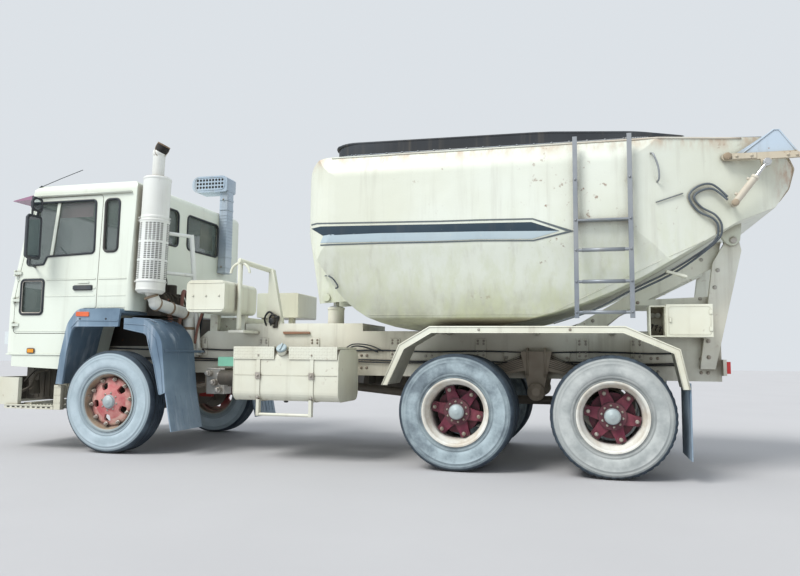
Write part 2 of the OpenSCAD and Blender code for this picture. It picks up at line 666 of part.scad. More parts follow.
module wheel_rear_right() mirror([0, 1, 0]) twin(rear_x);

// Tub: three outlines meet in one shell; t is the depth below its outer face
tub_side_rows = [
    [-1990, tub_bottom, 4000], [-60, tub_bottom, 900], [500, 2250, 900], [522, 2650, 0], [500, rim_z + 8, 300],
    [-2700, rim_z - 5, 0], [-3800, rim_z + 20, 0], [-3870, rim_z + 10, 40], [-4050, 2740, 120], [-4000, 2560, 150],
    [-3880, 2384, 0], [-3560, 2255, 300]
];
tub_plan_rows = [
    [522, -tub_half, 380], [522, tub_half, 380], [-2700, tub_half, 900], [-4060, 690, 0], [-4060, -690, 0],
    [-2700, -tub_half, 900]
];
tub_section_rows = [
    [-470, tub_bottom, 60], [470, tub_bottom, 60], [890, tub_bottom + 105, 20], [tub_half, 2150, 700],
    [tub_half, 2820, 260], [1010, rim_z + 200, 0], [-1010, rim_z + 200, 0], [-tub_half, 2820, 260],
    [-tub_half, 2150, 700], [-890, tub_bottom + 105, 20]
];
module tub_mass(t) intersection() {
    across(-1300, 1300) outline(inset(tub_side_rows, t), 8);
    translate([0, 0, 1000]) linear_extrude(3000) outline(inset(tub_plan_rows, t), 8);
    along(-4200, 900) outline(inset(tub_section_rows, t), 8);
}
module tub_shell() color(cream) {
    difference() {
        tub_mass(0);
        tub_mass(tub_wall);
        translate([0, 0, rim_z - 400]) linear_extrude(600) outline([
            [230, -930, 260], [230, 930, 260], [-2700, 930, 700], [-3560, 700, 0], [-3560, -700, 0], [-2700, -930, 700]
        ]);
        block([-4100, -676, 2440], [-3800, 676, rim_z + 200]);
    }
    both() {
        across(290, 305) outline([[300, 1620, 0], [600, 1600, 0], [740, 2400, 0], [500, 2400, 0], [180, 1700, 0]]);
        shaft([ram_x, ram_pin_z], 305, 330, 42);
        across(rail_out + 76, rail_out + 130) outline([
            [-3620, 2120, 40], [-3560, 2064, 60], [-3490, 2120, 40], [-3440, 2200, 0], [-3440, 2260, 0], [-3640, 2330, 0]
        ]);
        shaft(tub_hinge, rail_out + 0.5, rail_out + 100, 32);
    }
    across(-290, 290) outline([[625, 1800, 0], [640, 1800, 0], [740, 2400, 0], [722, 2400, 0]]);
    both() {
        difference() {
            shaft(gate_hinge, 780, 950, 20);
            tub_mass(-0.001);
        }
        difference() {
            shaft(gate_base, 800, 985, 16);
            tub_mass(-0.001);
        }
    }
    across(-290, 290) outline([[500, 2380, 0], [740, 2380, 0], [740, 2400, 0], [500, 2400, 0]]);
}

collar_rows = [[230, -930, 260], [230, 930, 260], [-2700, 930, 700], [-3150, 820, 0], [-3150, -820, 0], [-2700, -930, 700]];
collar_side_rows = [
    [-3200, rim_z - 60, 0], [600, rim_z - 60, 0], [600, rim_z + 178, 0], [-1900, rim_z + 146, 0], [-3200, rim_z + 56, 0]
];
module tub_collar() color(black) difference() {
    intersection() {
        translate([0, 0, rim_z - 80]) linear_extrude(300) outline(inset(collar_rows, -25), 8);
        across(-1300, 1300) outline(collar_side_rows);
    }
    translate([0, 0, rim_z - 90]) linear_extrude(400) outline(collar_rows, 8);
    block([-3300, -1000, rim_z - 100], [-3120, 1000, rim_z + 300]);
    tub_mass(-0.3);
}

module ladder() color([0.6, 0.62, 0.65]) {
    for (x = [-2160, -2625]) block([x - 20, tub_half + 55, 1380], [x + 20, tub_half + 85, rim_z + 8]);
    for (z = [1430, 1700, 1980]) bar([-2625, tub_half + 70, z], [-2160, tub_half + 70, z], 14);
    difference() {
        union() {
            for (x = [-2160, -2625]) block([x - 15, tub_half - 50, 2600], [x + 15, tub_half + 60, 2630]);
            block([-2640, tub_half - 50, 2240], [-2145, tub_half + 85, 2256]);
        }
        tub_mass(-0.3);
    }
}

// Two hoses that loop from a gate cylinder's foot to a clamp by the hinge
hose_rows = [
    [-3478, 2436, 0], [-3334, 2575, 40], [-3230, 2568, 60], [-3125, 2457, 90], [-3215, 2336, 60],
    [-3325, 2280, 40], [-3370, 2178, 0], [-3392, 2178, 0], [-3346, 2295, 40], [-3222, 2357, 60],
    [-3147, 2457, 70], [-3236, 2546, 60], [-3332, 2553, 40], [-3464, 2421, 0]
];
module tub_hoses() color(black) {
    across(tub_half - 145, tub_half - 123) outline(hose_rows);
    difference() {
        union() {
            block([-3395, 640, 2170], [-3365, tub_half - 123, 2200]);
            block([-3150, tub_half - 250, 2440], [-3120, tub_half - 123, 2470]);
        }
        tub_mass(-0.3);
    }
}

// Gate that closes the tub's mouth, with a lifting cylinder on each side
module gate() color([0.6, 0.66, 0.72]) {
    both() {
        difference() {
            across(905, 940) outline([
                [gate_hinge.x - 20, 2787, 0], [gate_hinge.x + 45, 2787, 26], [gate_hinge.x + 45, 2847, 26],
                [-4030, 2832, 0], [-4060, 2815, 0], [-4060, 2782, 0], [-3820, 2779, 0], [-3805, 2712, 20],
                [-3745, 2712, 20], [-3730, 2781, 0]
            ]);
            shaft(gate_hinge, 900, 950, 20.3);
        }
        across(891, 906) outline([
            [-4030, 2800, 0], [-3560, 2815, 0], [-3545, 2850, 0], [-3850, 3048, 0], [-3894, 3048, 0], [-4030, 2845, 0]
        ]);
    }
    across(-895, 895) outline([
        [-3850, 3036, 0], [-3850, 3048, 0], [-3894, 3048, 0], [-4024, 2852, 0], [-4014, 2846, 0], [-3888, 3036, 0]
    ]);
    across(-668, 668) outline([
        [-4022, 2860, 0], [-4068, 2742, 60], [-4016, 2556, 120], [-3934, 2446, 0], [-3924, 2452, 0], [-4005, 2561, 110],
        [-4056, 2742, 50], [-4008, 2852, 0]
    ]);
}
gate_reach = norm(gate_eye - gate_base);
gate_lean = atan2(gate_eye.x - gate_base.x, gate_eye.y - gate_base.y);
module at_gate_cylinder() both() translate([gate_base.x, 962, gate_base.y]) rotate([0, gate_lean, 0]) children();
module gate_barrels() color(cream) at_gate_cylinder() difference() {
    union() {
        cylinder(h = 290, r = 30);
        rotate([90, 0, 0]) translate([0, 0, -20]) cylinder(h = 40, r = 32);
    }
    translate([0, 0, 40]) cylinder(h = 300, r = 16.3);
    rotate([90, 0, 0]) translate([0, 0, -30]) cylinder(h = 60, r = 16.3);
}
module gate_rods() color([0.7, 0.7, 0.7]) at_gate_cylinder() difference() {
    union() {
        translate([0, 0, 60]) cylinder(h = gate_reach - 70, r = 16);
        translate([0, 0, gate_reach]) rotate([90, 0, 0]) translate([0, 0, -20]) cylinder(h = 40, r = 34);
        translate([0, 0, gate_reach]) rotate([90, 0, 0]) translate([0, 0, -28]) cylinder(h = 10, r = 18);
    }
    translate([0, 0, -100]) cylinder(h = 130, r = 50);
}

// Telescopic ram: each stage slides in the one outside it
ram_r = [92, 80, 68, 56, 44, 32];
module ram_barrel() color(cream) {
    difference() {
        translate([ram_x, 0, 870]) cylinder(h = 705, r = ram_r[0]);
        translate([ram_x, 0, 885]) cylinder(h = 740, r = ram_r[1] + 0.3);
    }
    shaft([ram_x, ram_base_z], 85, 200, 30);
    mirror([0, 1, 0]) shaft([ram_x, ram_base_z], 85, 200, 30);
}
module ram_stage(i) color([0.7, 0.7, 0.7]) difference() {
    translate([ram_x, 0, 885 + 3 * i]) cylinder(h = 692 + i, r = ram_r[i]);
    translate([ram_x, 0, 888 + 3 * i]) cylinder(h = 760, r = ram_r[i + 1] + 0.3);
}
module ram_stage_1() ram_stage(1);
module ram_stage_2() ram_stage(2);
module ram_stage_3() ram_stage(3);
module ram_stage_4() ram_stage(4);
module ram_stage_5() color([0.7, 0.7, 0.7]) {
    translate([ram_x, 0, 901]) cylinder(h = 730, r = ram_r[5]);
    translate([ram_x, 0, ram_pin_z]) sphere(r = 50);
}

chassis_frame();
tipping_frame();
powertrain();
bumper();
axles();
springs();
shocks();
fuel_tank();
side_boxes();
rear_mudguards();
mud_flaps();
exhaust();
tanks();
service_stand();
valve_box();
tail_lamps();
cab_shell();
cab_glass();
cab_interior();
cab_fenders();
visor();
cab_lamps();
air_intake();
door_left();
door_right();
door_glass_left();
door_glass_right();
mirror_left();
mirror_right();
knuckle_left();
knuckle_right();
tyre_front_left();
tyre_front_right();
wheel_front_left();
wheel_front_right();
tyres_middle_left();
tyres_middle_right();
wheel_middle_left();
wheel_middle_right();
tyres_rear_left();
tyres_rear_right();
wheel_rear_left();
wheel_rear_right();
tub_shell();
tub_collar();
ladder();
tub_hoses();
gate();
gate_barrels();
gate_rods();
ram_barrel();
ram_stage_1();
ram_stage_2();
ram_stage_3();
ram_stage_4();
ram_stage_5();
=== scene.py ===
"""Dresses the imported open-tub agitator truck: materials, tyre tread, bolts, stripes, gaskets, hoses and trim."""
import bpy
import bmesh
from math import acos, atan2, cos, hypot, pi, radians, sin, tan
from mathutils import Vector, Matrix
from mathutils.bvhtree import BVHTree


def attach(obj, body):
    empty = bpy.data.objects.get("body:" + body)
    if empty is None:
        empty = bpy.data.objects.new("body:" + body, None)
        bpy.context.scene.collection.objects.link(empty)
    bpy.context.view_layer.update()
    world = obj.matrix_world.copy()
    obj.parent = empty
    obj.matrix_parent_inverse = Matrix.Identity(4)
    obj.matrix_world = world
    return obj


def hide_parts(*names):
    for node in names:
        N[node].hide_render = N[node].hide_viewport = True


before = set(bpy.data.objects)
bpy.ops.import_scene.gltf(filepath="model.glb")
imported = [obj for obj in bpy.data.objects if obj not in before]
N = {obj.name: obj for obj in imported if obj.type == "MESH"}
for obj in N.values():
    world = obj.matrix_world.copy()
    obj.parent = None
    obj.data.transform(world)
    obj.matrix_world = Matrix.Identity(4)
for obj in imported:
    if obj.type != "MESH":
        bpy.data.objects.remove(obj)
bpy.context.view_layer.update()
scene = bpy.context.scene

# Measures repeated from the CAD source, in metres
TYRE_R, TYRE_W, TRACK = 0.53, 0.29, 1.22
AXLES = {"front": 2.575, "middle": -1.075, "rear": -2.445}
BOGIE = (AXLES["middle"], AXLES["rear"])
CAB_SIDE, GUARD_SIDE, RAIL_SIDE = 1.1685, 1.24, 0.4245
TRUNNION_X, TRUNNION_Z = -1.76, 0.7
TIP_HINGE_X, TIP_HINGE_Z = -3.56, 2.13
GATE_EYE = Vector((-3.509, 0, 2.394))
ROD_EYE = Vector((-3.776, 0, 2.743))
CAMERA = Vector((-2.23, 7.507, 1.04))
FOCAL = 698  # in pixels of the 800 x 576 frame

# ---- camera
yaw, pitch, roll = (radians(a) for a in (14.904, 5.507, 0.577))
look = Vector((sin(yaw) * cos(pitch), -cos(yaw) * cos(pitch), sin(pitch)))
right = look.cross(Vector((0, 0, 1))).normalized()
up = right.cross(look)
cam_x = right * cos(roll) + up * sin(roll)
cam_y = -right * sin(roll) + up * cos(roll)
cam_data = bpy.data.cameras.new("camera")
cam_data.sensor_fit = "HORIZONTAL"
cam_data.sensor_width = 36.0
cam_data.lens = FOCAL * cam_data.sensor_width / 800
camera = bpy.data.objects.new("camera", cam_data)
camera.matrix_world = Matrix((cam_x, cam_y, -look)).transposed().to_4x4()
camera.location = CAMERA
scene.collection.objects.link(camera)
scene.camera = camera


def pixel_ray(px, py):
    """Direction from the camera through a point of the 800 x 576 frame."""
    return (look * FOCAL + cam_x * (px - 400) - cam_y * (py - 288)).normalized()


# ---- materials
class Mat:
    """A node material: n() adds a node and links or sets its inputs."""

    def __init__(self, name):
        self.m = bpy.data.materials.new(name)
        self.m.use_nodes = True
        self.t = self.m.node_tree
        self.p = self.t.nodes["Principled BSDF"]
        self.co = self.n("ShaderNodeTexCoord").outputs["Object"]

    def n(self, kind, ins=None, **props):
        node = self.t.nodes.new(kind)
        for k, v in props.items():
            setattr(node, k, v)
        for k, v in (ins or {}).items():
            self.put(node.inputs[k], v)
        return node

    def put(self, socket, v):
        if isinstance(v, bpy.types.NodeSocket):
            self.t.links.new(v, socket)
        else:
            socket.default_value = (*v, 1) if isinstance(v, tuple) and len(v) == 3 and socket.type == "RGBA" else v

    def math(self, op, a, b=0.5, clamp=False):
        node = self.n("ShaderNodeMath", {0: a, 1: b}, operation=op)
        node.use_clamp = clamp
        return node.outputs[0]

    def mul(self, a, b):
        return self.math("MULTIPLY", a, b)

    def scaled(self, s):
        return self.n("ShaderNodeMapping", {"Vector": self.co, "Scale": s}).outputs[0]

    def noise(self, scale, detail=4, rough=0.55, stretch=None, offset=0.0):
        v = self.scaled(stretch) if stretch else self.co
        node = self.n("ShaderNodeTexNoise", {"Vector": v, "W": offset, "Scale": scale, "Detail": detail,
                                             "Roughness": rough},
                      noise_dimensions="4D")
        return node.outputs["Fac"]

    def step(self, v, lo, hi, a=0.0, b=1.0):
        return self.n("ShaderNodeMapRange", {0: v, 1: lo, 2: hi, 3: a, 4: b},
                      interpolation_type="SMOOTHSTEP").outputs[0]

    def mix(self, fac, a, b):
        node = self.n("ShaderNodeMix", {0: fac, 6: a, 7: b}, data_type="RGBA")
        return node.outputs[2]

    def axis(self, i):
        return self.n("ShaderNodeSeparateXYZ", {0: self.co}).outputs[i]

    # painted shade: an ambient occlusion mask, high in corners and creases
    def crevices(self, distance=0.12):
        ao = self.n("ShaderNodeAmbientOcclusion", {"Distance": distance}, samples=4)
        return self.step(ao.outputs["AO"], 0.25, 0.85, 1.0, 0.0)

    def bump(self, height, strength, distance, edge=0.004):
        normal = self.n("ShaderNodeBevel", {"Radius": edge}, samples=4).outputs[0] if edge else None
        node = self.n("ShaderNodeBump", {"Height": height, "Strength": strength, "Distance": distance})
        if normal:
            self.t.links.new(normal, node.inputs["Normal"])
        self.t.links.new(node.outputs[0], self.p.inputs["Normal"])

    def out(self, color, rough=0.5, metal=0.0, **more):
        self.put(self.p.inputs["Base Color"], color)
        self.put(self.p.inputs["Roughness"], rough)
        self.put(self.p.inputs["Metallic"], metal)
        for k, v in more.items():
            self.put(self.p.inputs[k.replace("_", " ")], v)
        return self.m


# colour of the dirt runs, and of the painted shade in corners
DIRT_AND_SHADE = (0.24, 0.2, 0.145)
RUST = (0.2, 0.075, 0.03)


def paint(name, color, shade, look, seed, chips=None, dents=0.25, dent_size=0.004, edge=0.004,
              dust_color=(0.42, 0.39, 0.32), dust_top=1.1, dust_low=0.25, streak_color=None, above=None, rims=()):
    """Painted or bare sheet with uneven colour, vertical runs, road dust low down, painted shade in corners and
    creases, and rust specks.

    look is (roughness, metal, corner shade, streaks, rust, dust), the third being the strength of the painted shade in
    corners; chips, above and rims add a colour of their own."""
    rough, metal, corner_shade, streaks, rust, dust = look
    m = Mat(name)
    shade = shade or tuple(c * 0.84 for c in color)
    c = m.mix(m.step(m.noise(0.9, 5, offset=seed), 0.36, 0.66), color, shade)
    if above:
        c = m.mix(m.step(m.axis(2), above[0] - 0.003, above[0] + 0.003), c, above[1])
    runs = m.mul(m.step(m.noise(1.0, 6, 0.6, (9, 9, 0.55), seed + 3), 0.5, 0.78), streaks)
    c = m.mix(runs, c, streak_color or DIRT_AND_SHADE)
    low = m.step(m.axis(2), dust_low, dust_top, dust, 0.0)
    low = m.mul(low, m.step(m.noise(3.0, 6, 0.65, offset=seed + 5), 0.25, 0.7, 0.35, 1.0))
    c = m.mix(low, c, dust_color)
    if chips:
        c = m.mix(m.step(m.noise(22, 5, 0.6, offset=seed + 9), 0.66, 0.7), c, chips)
    spots = m.mul(m.step(m.noise(13, 8, 0.62, offset=seed + 7), 0.6, 0.68),
                  m.step(m.noise(1.4, 3, offset=seed + 8), 0.5, 0.68))
    spots = m.mul(spots, rust)
    c = m.mix(spots, c, RUST)
    for i, lo, hi, rim_color, amount in rims:
        near = m.mul(m.step(m.axis(i), lo, hi), m.step(m.noise(9, 7, 0.65, (1, 1, 0.35), seed + 11 + lo), 0.4, 0.66))
        c = m.mix(m.mul(near, amount), c, rim_color)
    # painted shade: corners and creases darkened toward the dirt colour
    corner_shade_mask = m.mul(m.crevices(), corner_shade)
    c = m.mix(corner_shade_mask, c, DIRT_AND_SHADE)
    r = m.step(m.math("ADD", m.math("ADD", corner_shade_mask, low), spots), 0.0, 1.2, rough, 0.9)
    fine = m.math("ADD", m.mul(m.noise(2.2, 2, offset=seed + 2), 1.0), m.mul(m.noise(60, 3), 0.06))
    m.bump(fine, dents, dent_size, edge)
    return m.out(c, r, metal)


cream = paint("cream_paint", (0.8, 0.82, 0.71), (0.71, 0.7, 0.57), (0.4, 0, 1, 0.35, 0.7, 0.45), 0, dust_top=1.35)
frame_paint = paint("frame_paint", (0.88, 0.9, 0.82), (0.74, 0.71, 0.6), (0.55, 0, 1, 0.4, 1, 0.6), 2,
                    dust_color=(0.36, 0.33, 0.25), dust_top=1.5, dust_low=0.8)
tub_paint = paint("tub_paint", (0.78, 0.82, 0.735), (0.73, 0.755, 0.645), (0.42, 0, 0.95, 0.3, 0.9, 0.8), 4, dents=0.5,
                  dent_size=0.02, dust_color=(0.24, 0.24, 0.165), dust_top=1.85, dust_low=1.3,
                  rims=((2, 2.84, 3.0, (0.52, 0.36, 0.24), 0.75), (0, -3.8, -4.06, (0.42, 0.19, 0.085), 0.95),
                        (2, 2.7, 1.5, (0.58, 0.62, 0.4), 0.45)))
cab_paint = paint("cab_paint", (0.81, 0.87, 0.78), (0.77, 0.82, 0.72), (0.3, 0, 0.8, 0.16, 0.15, 0.3), 6, dents=0.12,
                  dent_size=0.004)
dark_steel = paint("dark_steel", (0.045, 0.04, 0.036), (0.1, 0.08, 0.062), (0.65, 0.2, 0.5, 0.3, 0.9, 0.35), 8)
spring_steel = paint("spring_steel", (0.44, 0.39, 0.31), (0.2, 0.16, 0.12), (0.65, 0.1, 0.9, 0.3, 0.9, 0.3), 9)
fender_plastic = paint("fender_plastic", (0.075, 0.13, 0.2), (0.22, 0.32, 0.42), (0.5, 0, 0.2, 1, 0, 0.7), 10,
                       edge=0.003, dust_color=(0.36, 0.45, 0.53), dust_top=1.25, streak_color=(0.5, 0.58, 0.66))
black_plastic = paint("black_plastic", (0.03, 0.035, 0.045), (0.07, 0.08, 0.09), (0.45, 0, 0.2, 0.3, 0, 0.5), 11)
shield_paint = paint("shield_paint", (0.84, 0.87, 0.85), (0.74, 0.75, 0.7), (0.45, 0.1, 0.45, 0.4, 0.5, 0), 13)
pipe_rust = paint("pipe_rust", (0.4, 0.33, 0.24), (0.2, 0.125, 0.07), (0.75, 0.1, 0.6, 0.3, 0.9, 0.2), 14)
galvanised = paint("galvanised", (0.2, 0.235, 0.28), (0.36, 0.38, 0.4), (0.5, 0.55, 0.4, 0.3, 0.3, 0), 15)
intake_plastic = paint("intake_plastic", (0.36, 0.45, 0.55), (0.55, 0.63, 0.71), (0.55, 0, 0.35, 0.5, 0, 0), 16)
gate_paint = paint("gate_paint", (0.6, 0.54, 0.42), (0.5, 0.4, 0.29), (0.55, 0, 0.9, 0.4, 1, 0), 17,
                   chips=(0.3, 0.17, 0.1), above=(2.85, (0.5, 0.6, 0.7)))
arm_paint = paint("arm_paint", (0.7, 0.68, 0.58), (0.5, 0.42, 0.33), (0.6, 0, 0.8, 0.3, 1, 0), 18)
red_paint = paint("red_paint", (0.55, 0.015, 0.012), (0.42, 0.02, 0.015), (0.35, 0, 0.3, 0.3, 0.1, 0.1), 19)
nut_metal = paint("nut_metal", (0.55, 0.53, 0.49), (0.36, 0.3, 0.24), (0.4, 0.7, 0.3, 0.3, 0.5, 0), 24, edge=0.001)
hub_grey = paint("hub_grey", (0.36, 0.46, 0.5), (0.45, 0.5, 0.5), (0.5, 0.2, 0.4, 0.3, 0.1, 0), 25)
black_rubber = paint("black_rubber", (0.01, 0.014, 0.02), (0.03, 0.038, 0.048), (0.6, 0, 0.2, 0.3, 0, 0.2), 26)
navy = paint("navy_stripe", (0.018, 0.04, 0.062), (0.035, 0.062, 0.085), (0.4, 0, 0.2, 0.12, 0, 0), 27,
             chips=(0.22, 0.27, 0.28), dents=0.2, edge=0)
steel_blue = paint("blue_stripe", (0.46, 0.57, 0.63), (0.52, 0.62, 0.66), (0.4, 0, 0.2, 0.12, 0, 0), 28,
                   chips=(0.6, 0.64, 0.62), dents=0.2, edge=0)
line_dark = paint("line_dark", (0.1, 0.13, 0.15), (0.16, 0.18, 0.18), (0.45, 0, 0.1, 0.3, 0, 0), 29, dents=0.1, edge=0)
trim = paint("cab_trim", (0.045, 0.045, 0.047), (0.07, 0.065, 0.06), (0.8, 0, 0.2, 0.3, 0, 0), 30)
chrome = paint("rod_steel", (0.7, 0.7, 0.7), (0.6, 0.6, 0.58), (0.2, 1, 0.2, 0.3, 0.1, 0), 31, edge=0.001)


def lens(name, color, ahead=None):
    """Ribbed lamp lens; ahead is the colour of the lamps at the nose."""
    m = Mat(name)
    ribs = m.n("ShaderNodeTexWave", {"Vector": m.co, "Scale": 60.0, "Distortion": 0.0},
               wave_profile="SIN").outputs["Fac"]
    m.bump(ribs, 0.4, 0.002, 0.002)
    c = m.mix(m.step(m.noise(6, 4), 0.4, 0.75), color, tuple(x * 0.75 for x in color))
    if ahead:
        c = m.mix(m.step(m.axis(0), 3.8, 3.85), c, ahead)
    return m.out(c, 0.2, Coat_Weight=0.5)


amber = lens("amber_lens", (0.9, 0.36, 0.01), (0.72, 0.78, 0.8))
orange = lens("orange_lens", (0.85, 0.16, 0.05))
red_lens = lens("red_lens", (0.6, 0.02, 0.02))
clear_lens = lens("clear_lens", (0.8, 0.82, 0.8))


def glass(name, tint, rough, alpha):
    m = Mat(name)
    dust = m.step(m.noise(2.5, 6, 0.6), 0.4, 0.8, alpha, min(1, alpha + 0.22))
    m.put(m.p.inputs["Alpha"], dust)
    c = m.mix(m.step(m.noise(1.2, 3), 0.35, 0.7), tint, tuple(x * 0.8 for x in tint))
    return m.out(c, rough, IOR=1.5)


window = glass("window_glass", (0.17, 0.215, 0.2), 0.04, 0.4)
visor_mat = glass("visor_plastic", (0.42, 0.22, 0.33), 0.2, 0.88)

plate_white = paint("plate_white", (0.8, 0.81, 0.78), None, (0.35, 0, 0.4, 0.2, 0, 0.3), 32)
# near black: the levers' own colour, and painted shade in holes, slots, spring gaps and the exhaust's mouth
soot = paint("soot", (0.012, 0.012, 0.012), (0.03, 0.028, 0.025), (0.9, 0, 0, 0.3, 0, 0), 33, edge=0)
mirror_face = paint("mirror_face", (0.75, 0.8, 0.83), (0.66, 0.72, 0.76), (0.06, 1, 0.1, 0.08, 0, 0), 34,
                    dents=0.02, edge=0)
plate_green = paint("plate_green", (0.24, 0.6, 0.44), None, (0.4, 0, 0.4, 0.2, 0, 0.2), 37)
hose_grey = paint("grey_hose", (0.065, 0.085, 0.105), (0.17, 0.2, 0.22), (0.6, 0, 0.3, 0.2, 0, 0), 40)
underside = paint("underside", (0.022, 0.021, 0.019), (0.065, 0.055, 0.043), (0.85, 0, 0.2, 0.3, 0.6, 0.15), 41)
hose_red = paint("red_hose", (0.26, 0.1, 0.075), (0.2, 0.12, 0.09), (0.7, 0, 0.5, 0.2, 0.3, 0.2), 38)
rim_rust = paint("rim_rust", (0.76, 0.8, 0.72), (0.6, 0.5, 0.4), (0.6, 0, 0.6, 0.3, 1, 0), 39, chips=(0.35, 0.17, 0.09))
rust_bar = paint("rust_bar", (0.3, 0.16, 0.1), (0.42, 0.28, 0.2), (0.8, 0, 0.5, 0.3, 1, 0), 42)
blind = paint("window_blind", (0.78, 0.5, 0.56), (0.7, 0.42, 0.5), (0.7, 0, 0.2, 0.1, 0, 0), 35)
curtain = paint("curtain", (0.72, 0.66, 0.38), (0.6, 0.54, 0.3), (0.9, 0, 0.3, 0.2, 0, 0), 36)

# Tyres and rims take their colours by the distance from their own axle
def ring_mat(name, x, rows, rough, bumps, recess_shade_depth=None, crevice_shade=0.55):
    """rows: (radius where the colour starts, colour, its worn shade); bumps: (scale, strength, distance);
    recess_shade_depth: distance from the middle below which the hub's recessed inner parts get painted shade."""
    m = Mat(name)
    dx = m.math("SUBTRACT", m.axis(0), x)
    dz = m.math("SUBTRACT", m.axis(2), TYRE_R)
    r = m.math("SQRT", m.math("ADD", m.mul(dx, dx), m.mul(dz, dz)))
    c = None
    for start, color, worn in rows:
        both = m.mix(m.step(m.noise(5, 7, 0.65, offset=start + x), 0.35, 0.68), color, worn)
        c = both if c is None else m.mix(m.step(r, start - 0.006, start + 0.006), c, both)
    # painted shade: crevices of tyres and rims darkened toward near black
    c = m.mix(m.mul(m.crevices(0.05), crevice_shade), c, (0.05, 0.05, 0.045))
    # painted shade: the hub's inner parts behind the disc turn near black
    if recess_shade_depth:
        side = m.step(m.math("ABSOLUTE", m.axis(1)), recess_shade_depth - 0.02, recess_shade_depth + 0.02, 1.0, 0.0)
        c = m.mix(m.mul(side, m.step(r, 0.24, 0.25, 1.0, 0.0)), c, (0.035, 0.032, 0.03))
    m.bump(m.noise(bumps[0], 5, 0.6), bumps[1], bumps[2], 0.002)
    return m.out(c, m.step(m.noise(8, 3), 0.3, 0.7, rough, min(1, rough + 0.12)))


TYRE_TONES = {"front": ((0.48, 0.58, 0.64), (0.36, 0.45, 0.5)), "middle": ((0.4, 0.49, 0.53), (0.15, 0.19, 0.22)),
              "rear": ((0.53, 0.56, 0.55), (0.33, 0.36, 0.36))}
tyre_mats = {k: ring_mat("tyre_" + k, x, [
    (0.0, tuple(c * 0.72 for c in TYRE_TONES[k][0]), tuple(c * 0.8 for c in TYRE_TONES[k][1])),
    (0.352, *TYRE_TONES[k]),
    (0.455, tuple(c * 0.8 for c in TYRE_TONES[k][0]), TYRE_TONES[k][1]),
    (0.5, (0.022, 0.034, 0.05), (0.06, 0.085, 0.11))], 0.78, (90, 0.25, 0.0015)) for k, x in AXLES.items()}

wheel_mats = {k: ring_mat("wheel_" + k, x, [
    (0.0, (0.34, 0.46, 0.5), (0.5, 0.57, 0.58)),
    (0.069, (0.075, 0.006, 0.022), (0.14, 0.05, 0.06)),
    (0.125, (0.125, 0.006, 0.034), (0.21, 0.045, 0.065)),
    (0.243, (0.8, 0.81, 0.76), (0.58, 0.53, 0.44))], 0.5, (40, 0.3, 0.001), 0.985, 0.75)
    for k, x in AXLES.items() if k != "front"}
wheel_mats["front"] = ring_mat("wheel_front", AXLES["front"], [
    (0.0, (0.4, 0.52, 0.56), (0.55, 0.62, 0.63)),
    (0.072, (0.46, 0.095, 0.105), (0.62, 0.3, 0.27)),
    (0.18, (0.48, 0.14, 0.14), (0.7, 0.5, 0.42)),
    (0.226, (0.42, 0.15, 0.13), (0.62, 0.5, 0.4)),
    (0.262, (0.3, 0.22, 0.15), (0.44, 0.38, 0.3)),
    (0.285, (0.27, 0.335, 0.355), (0.35, 0.41, 0.42))], 0.5, (40, 0.35, 0.001), 1.075, 0.95)

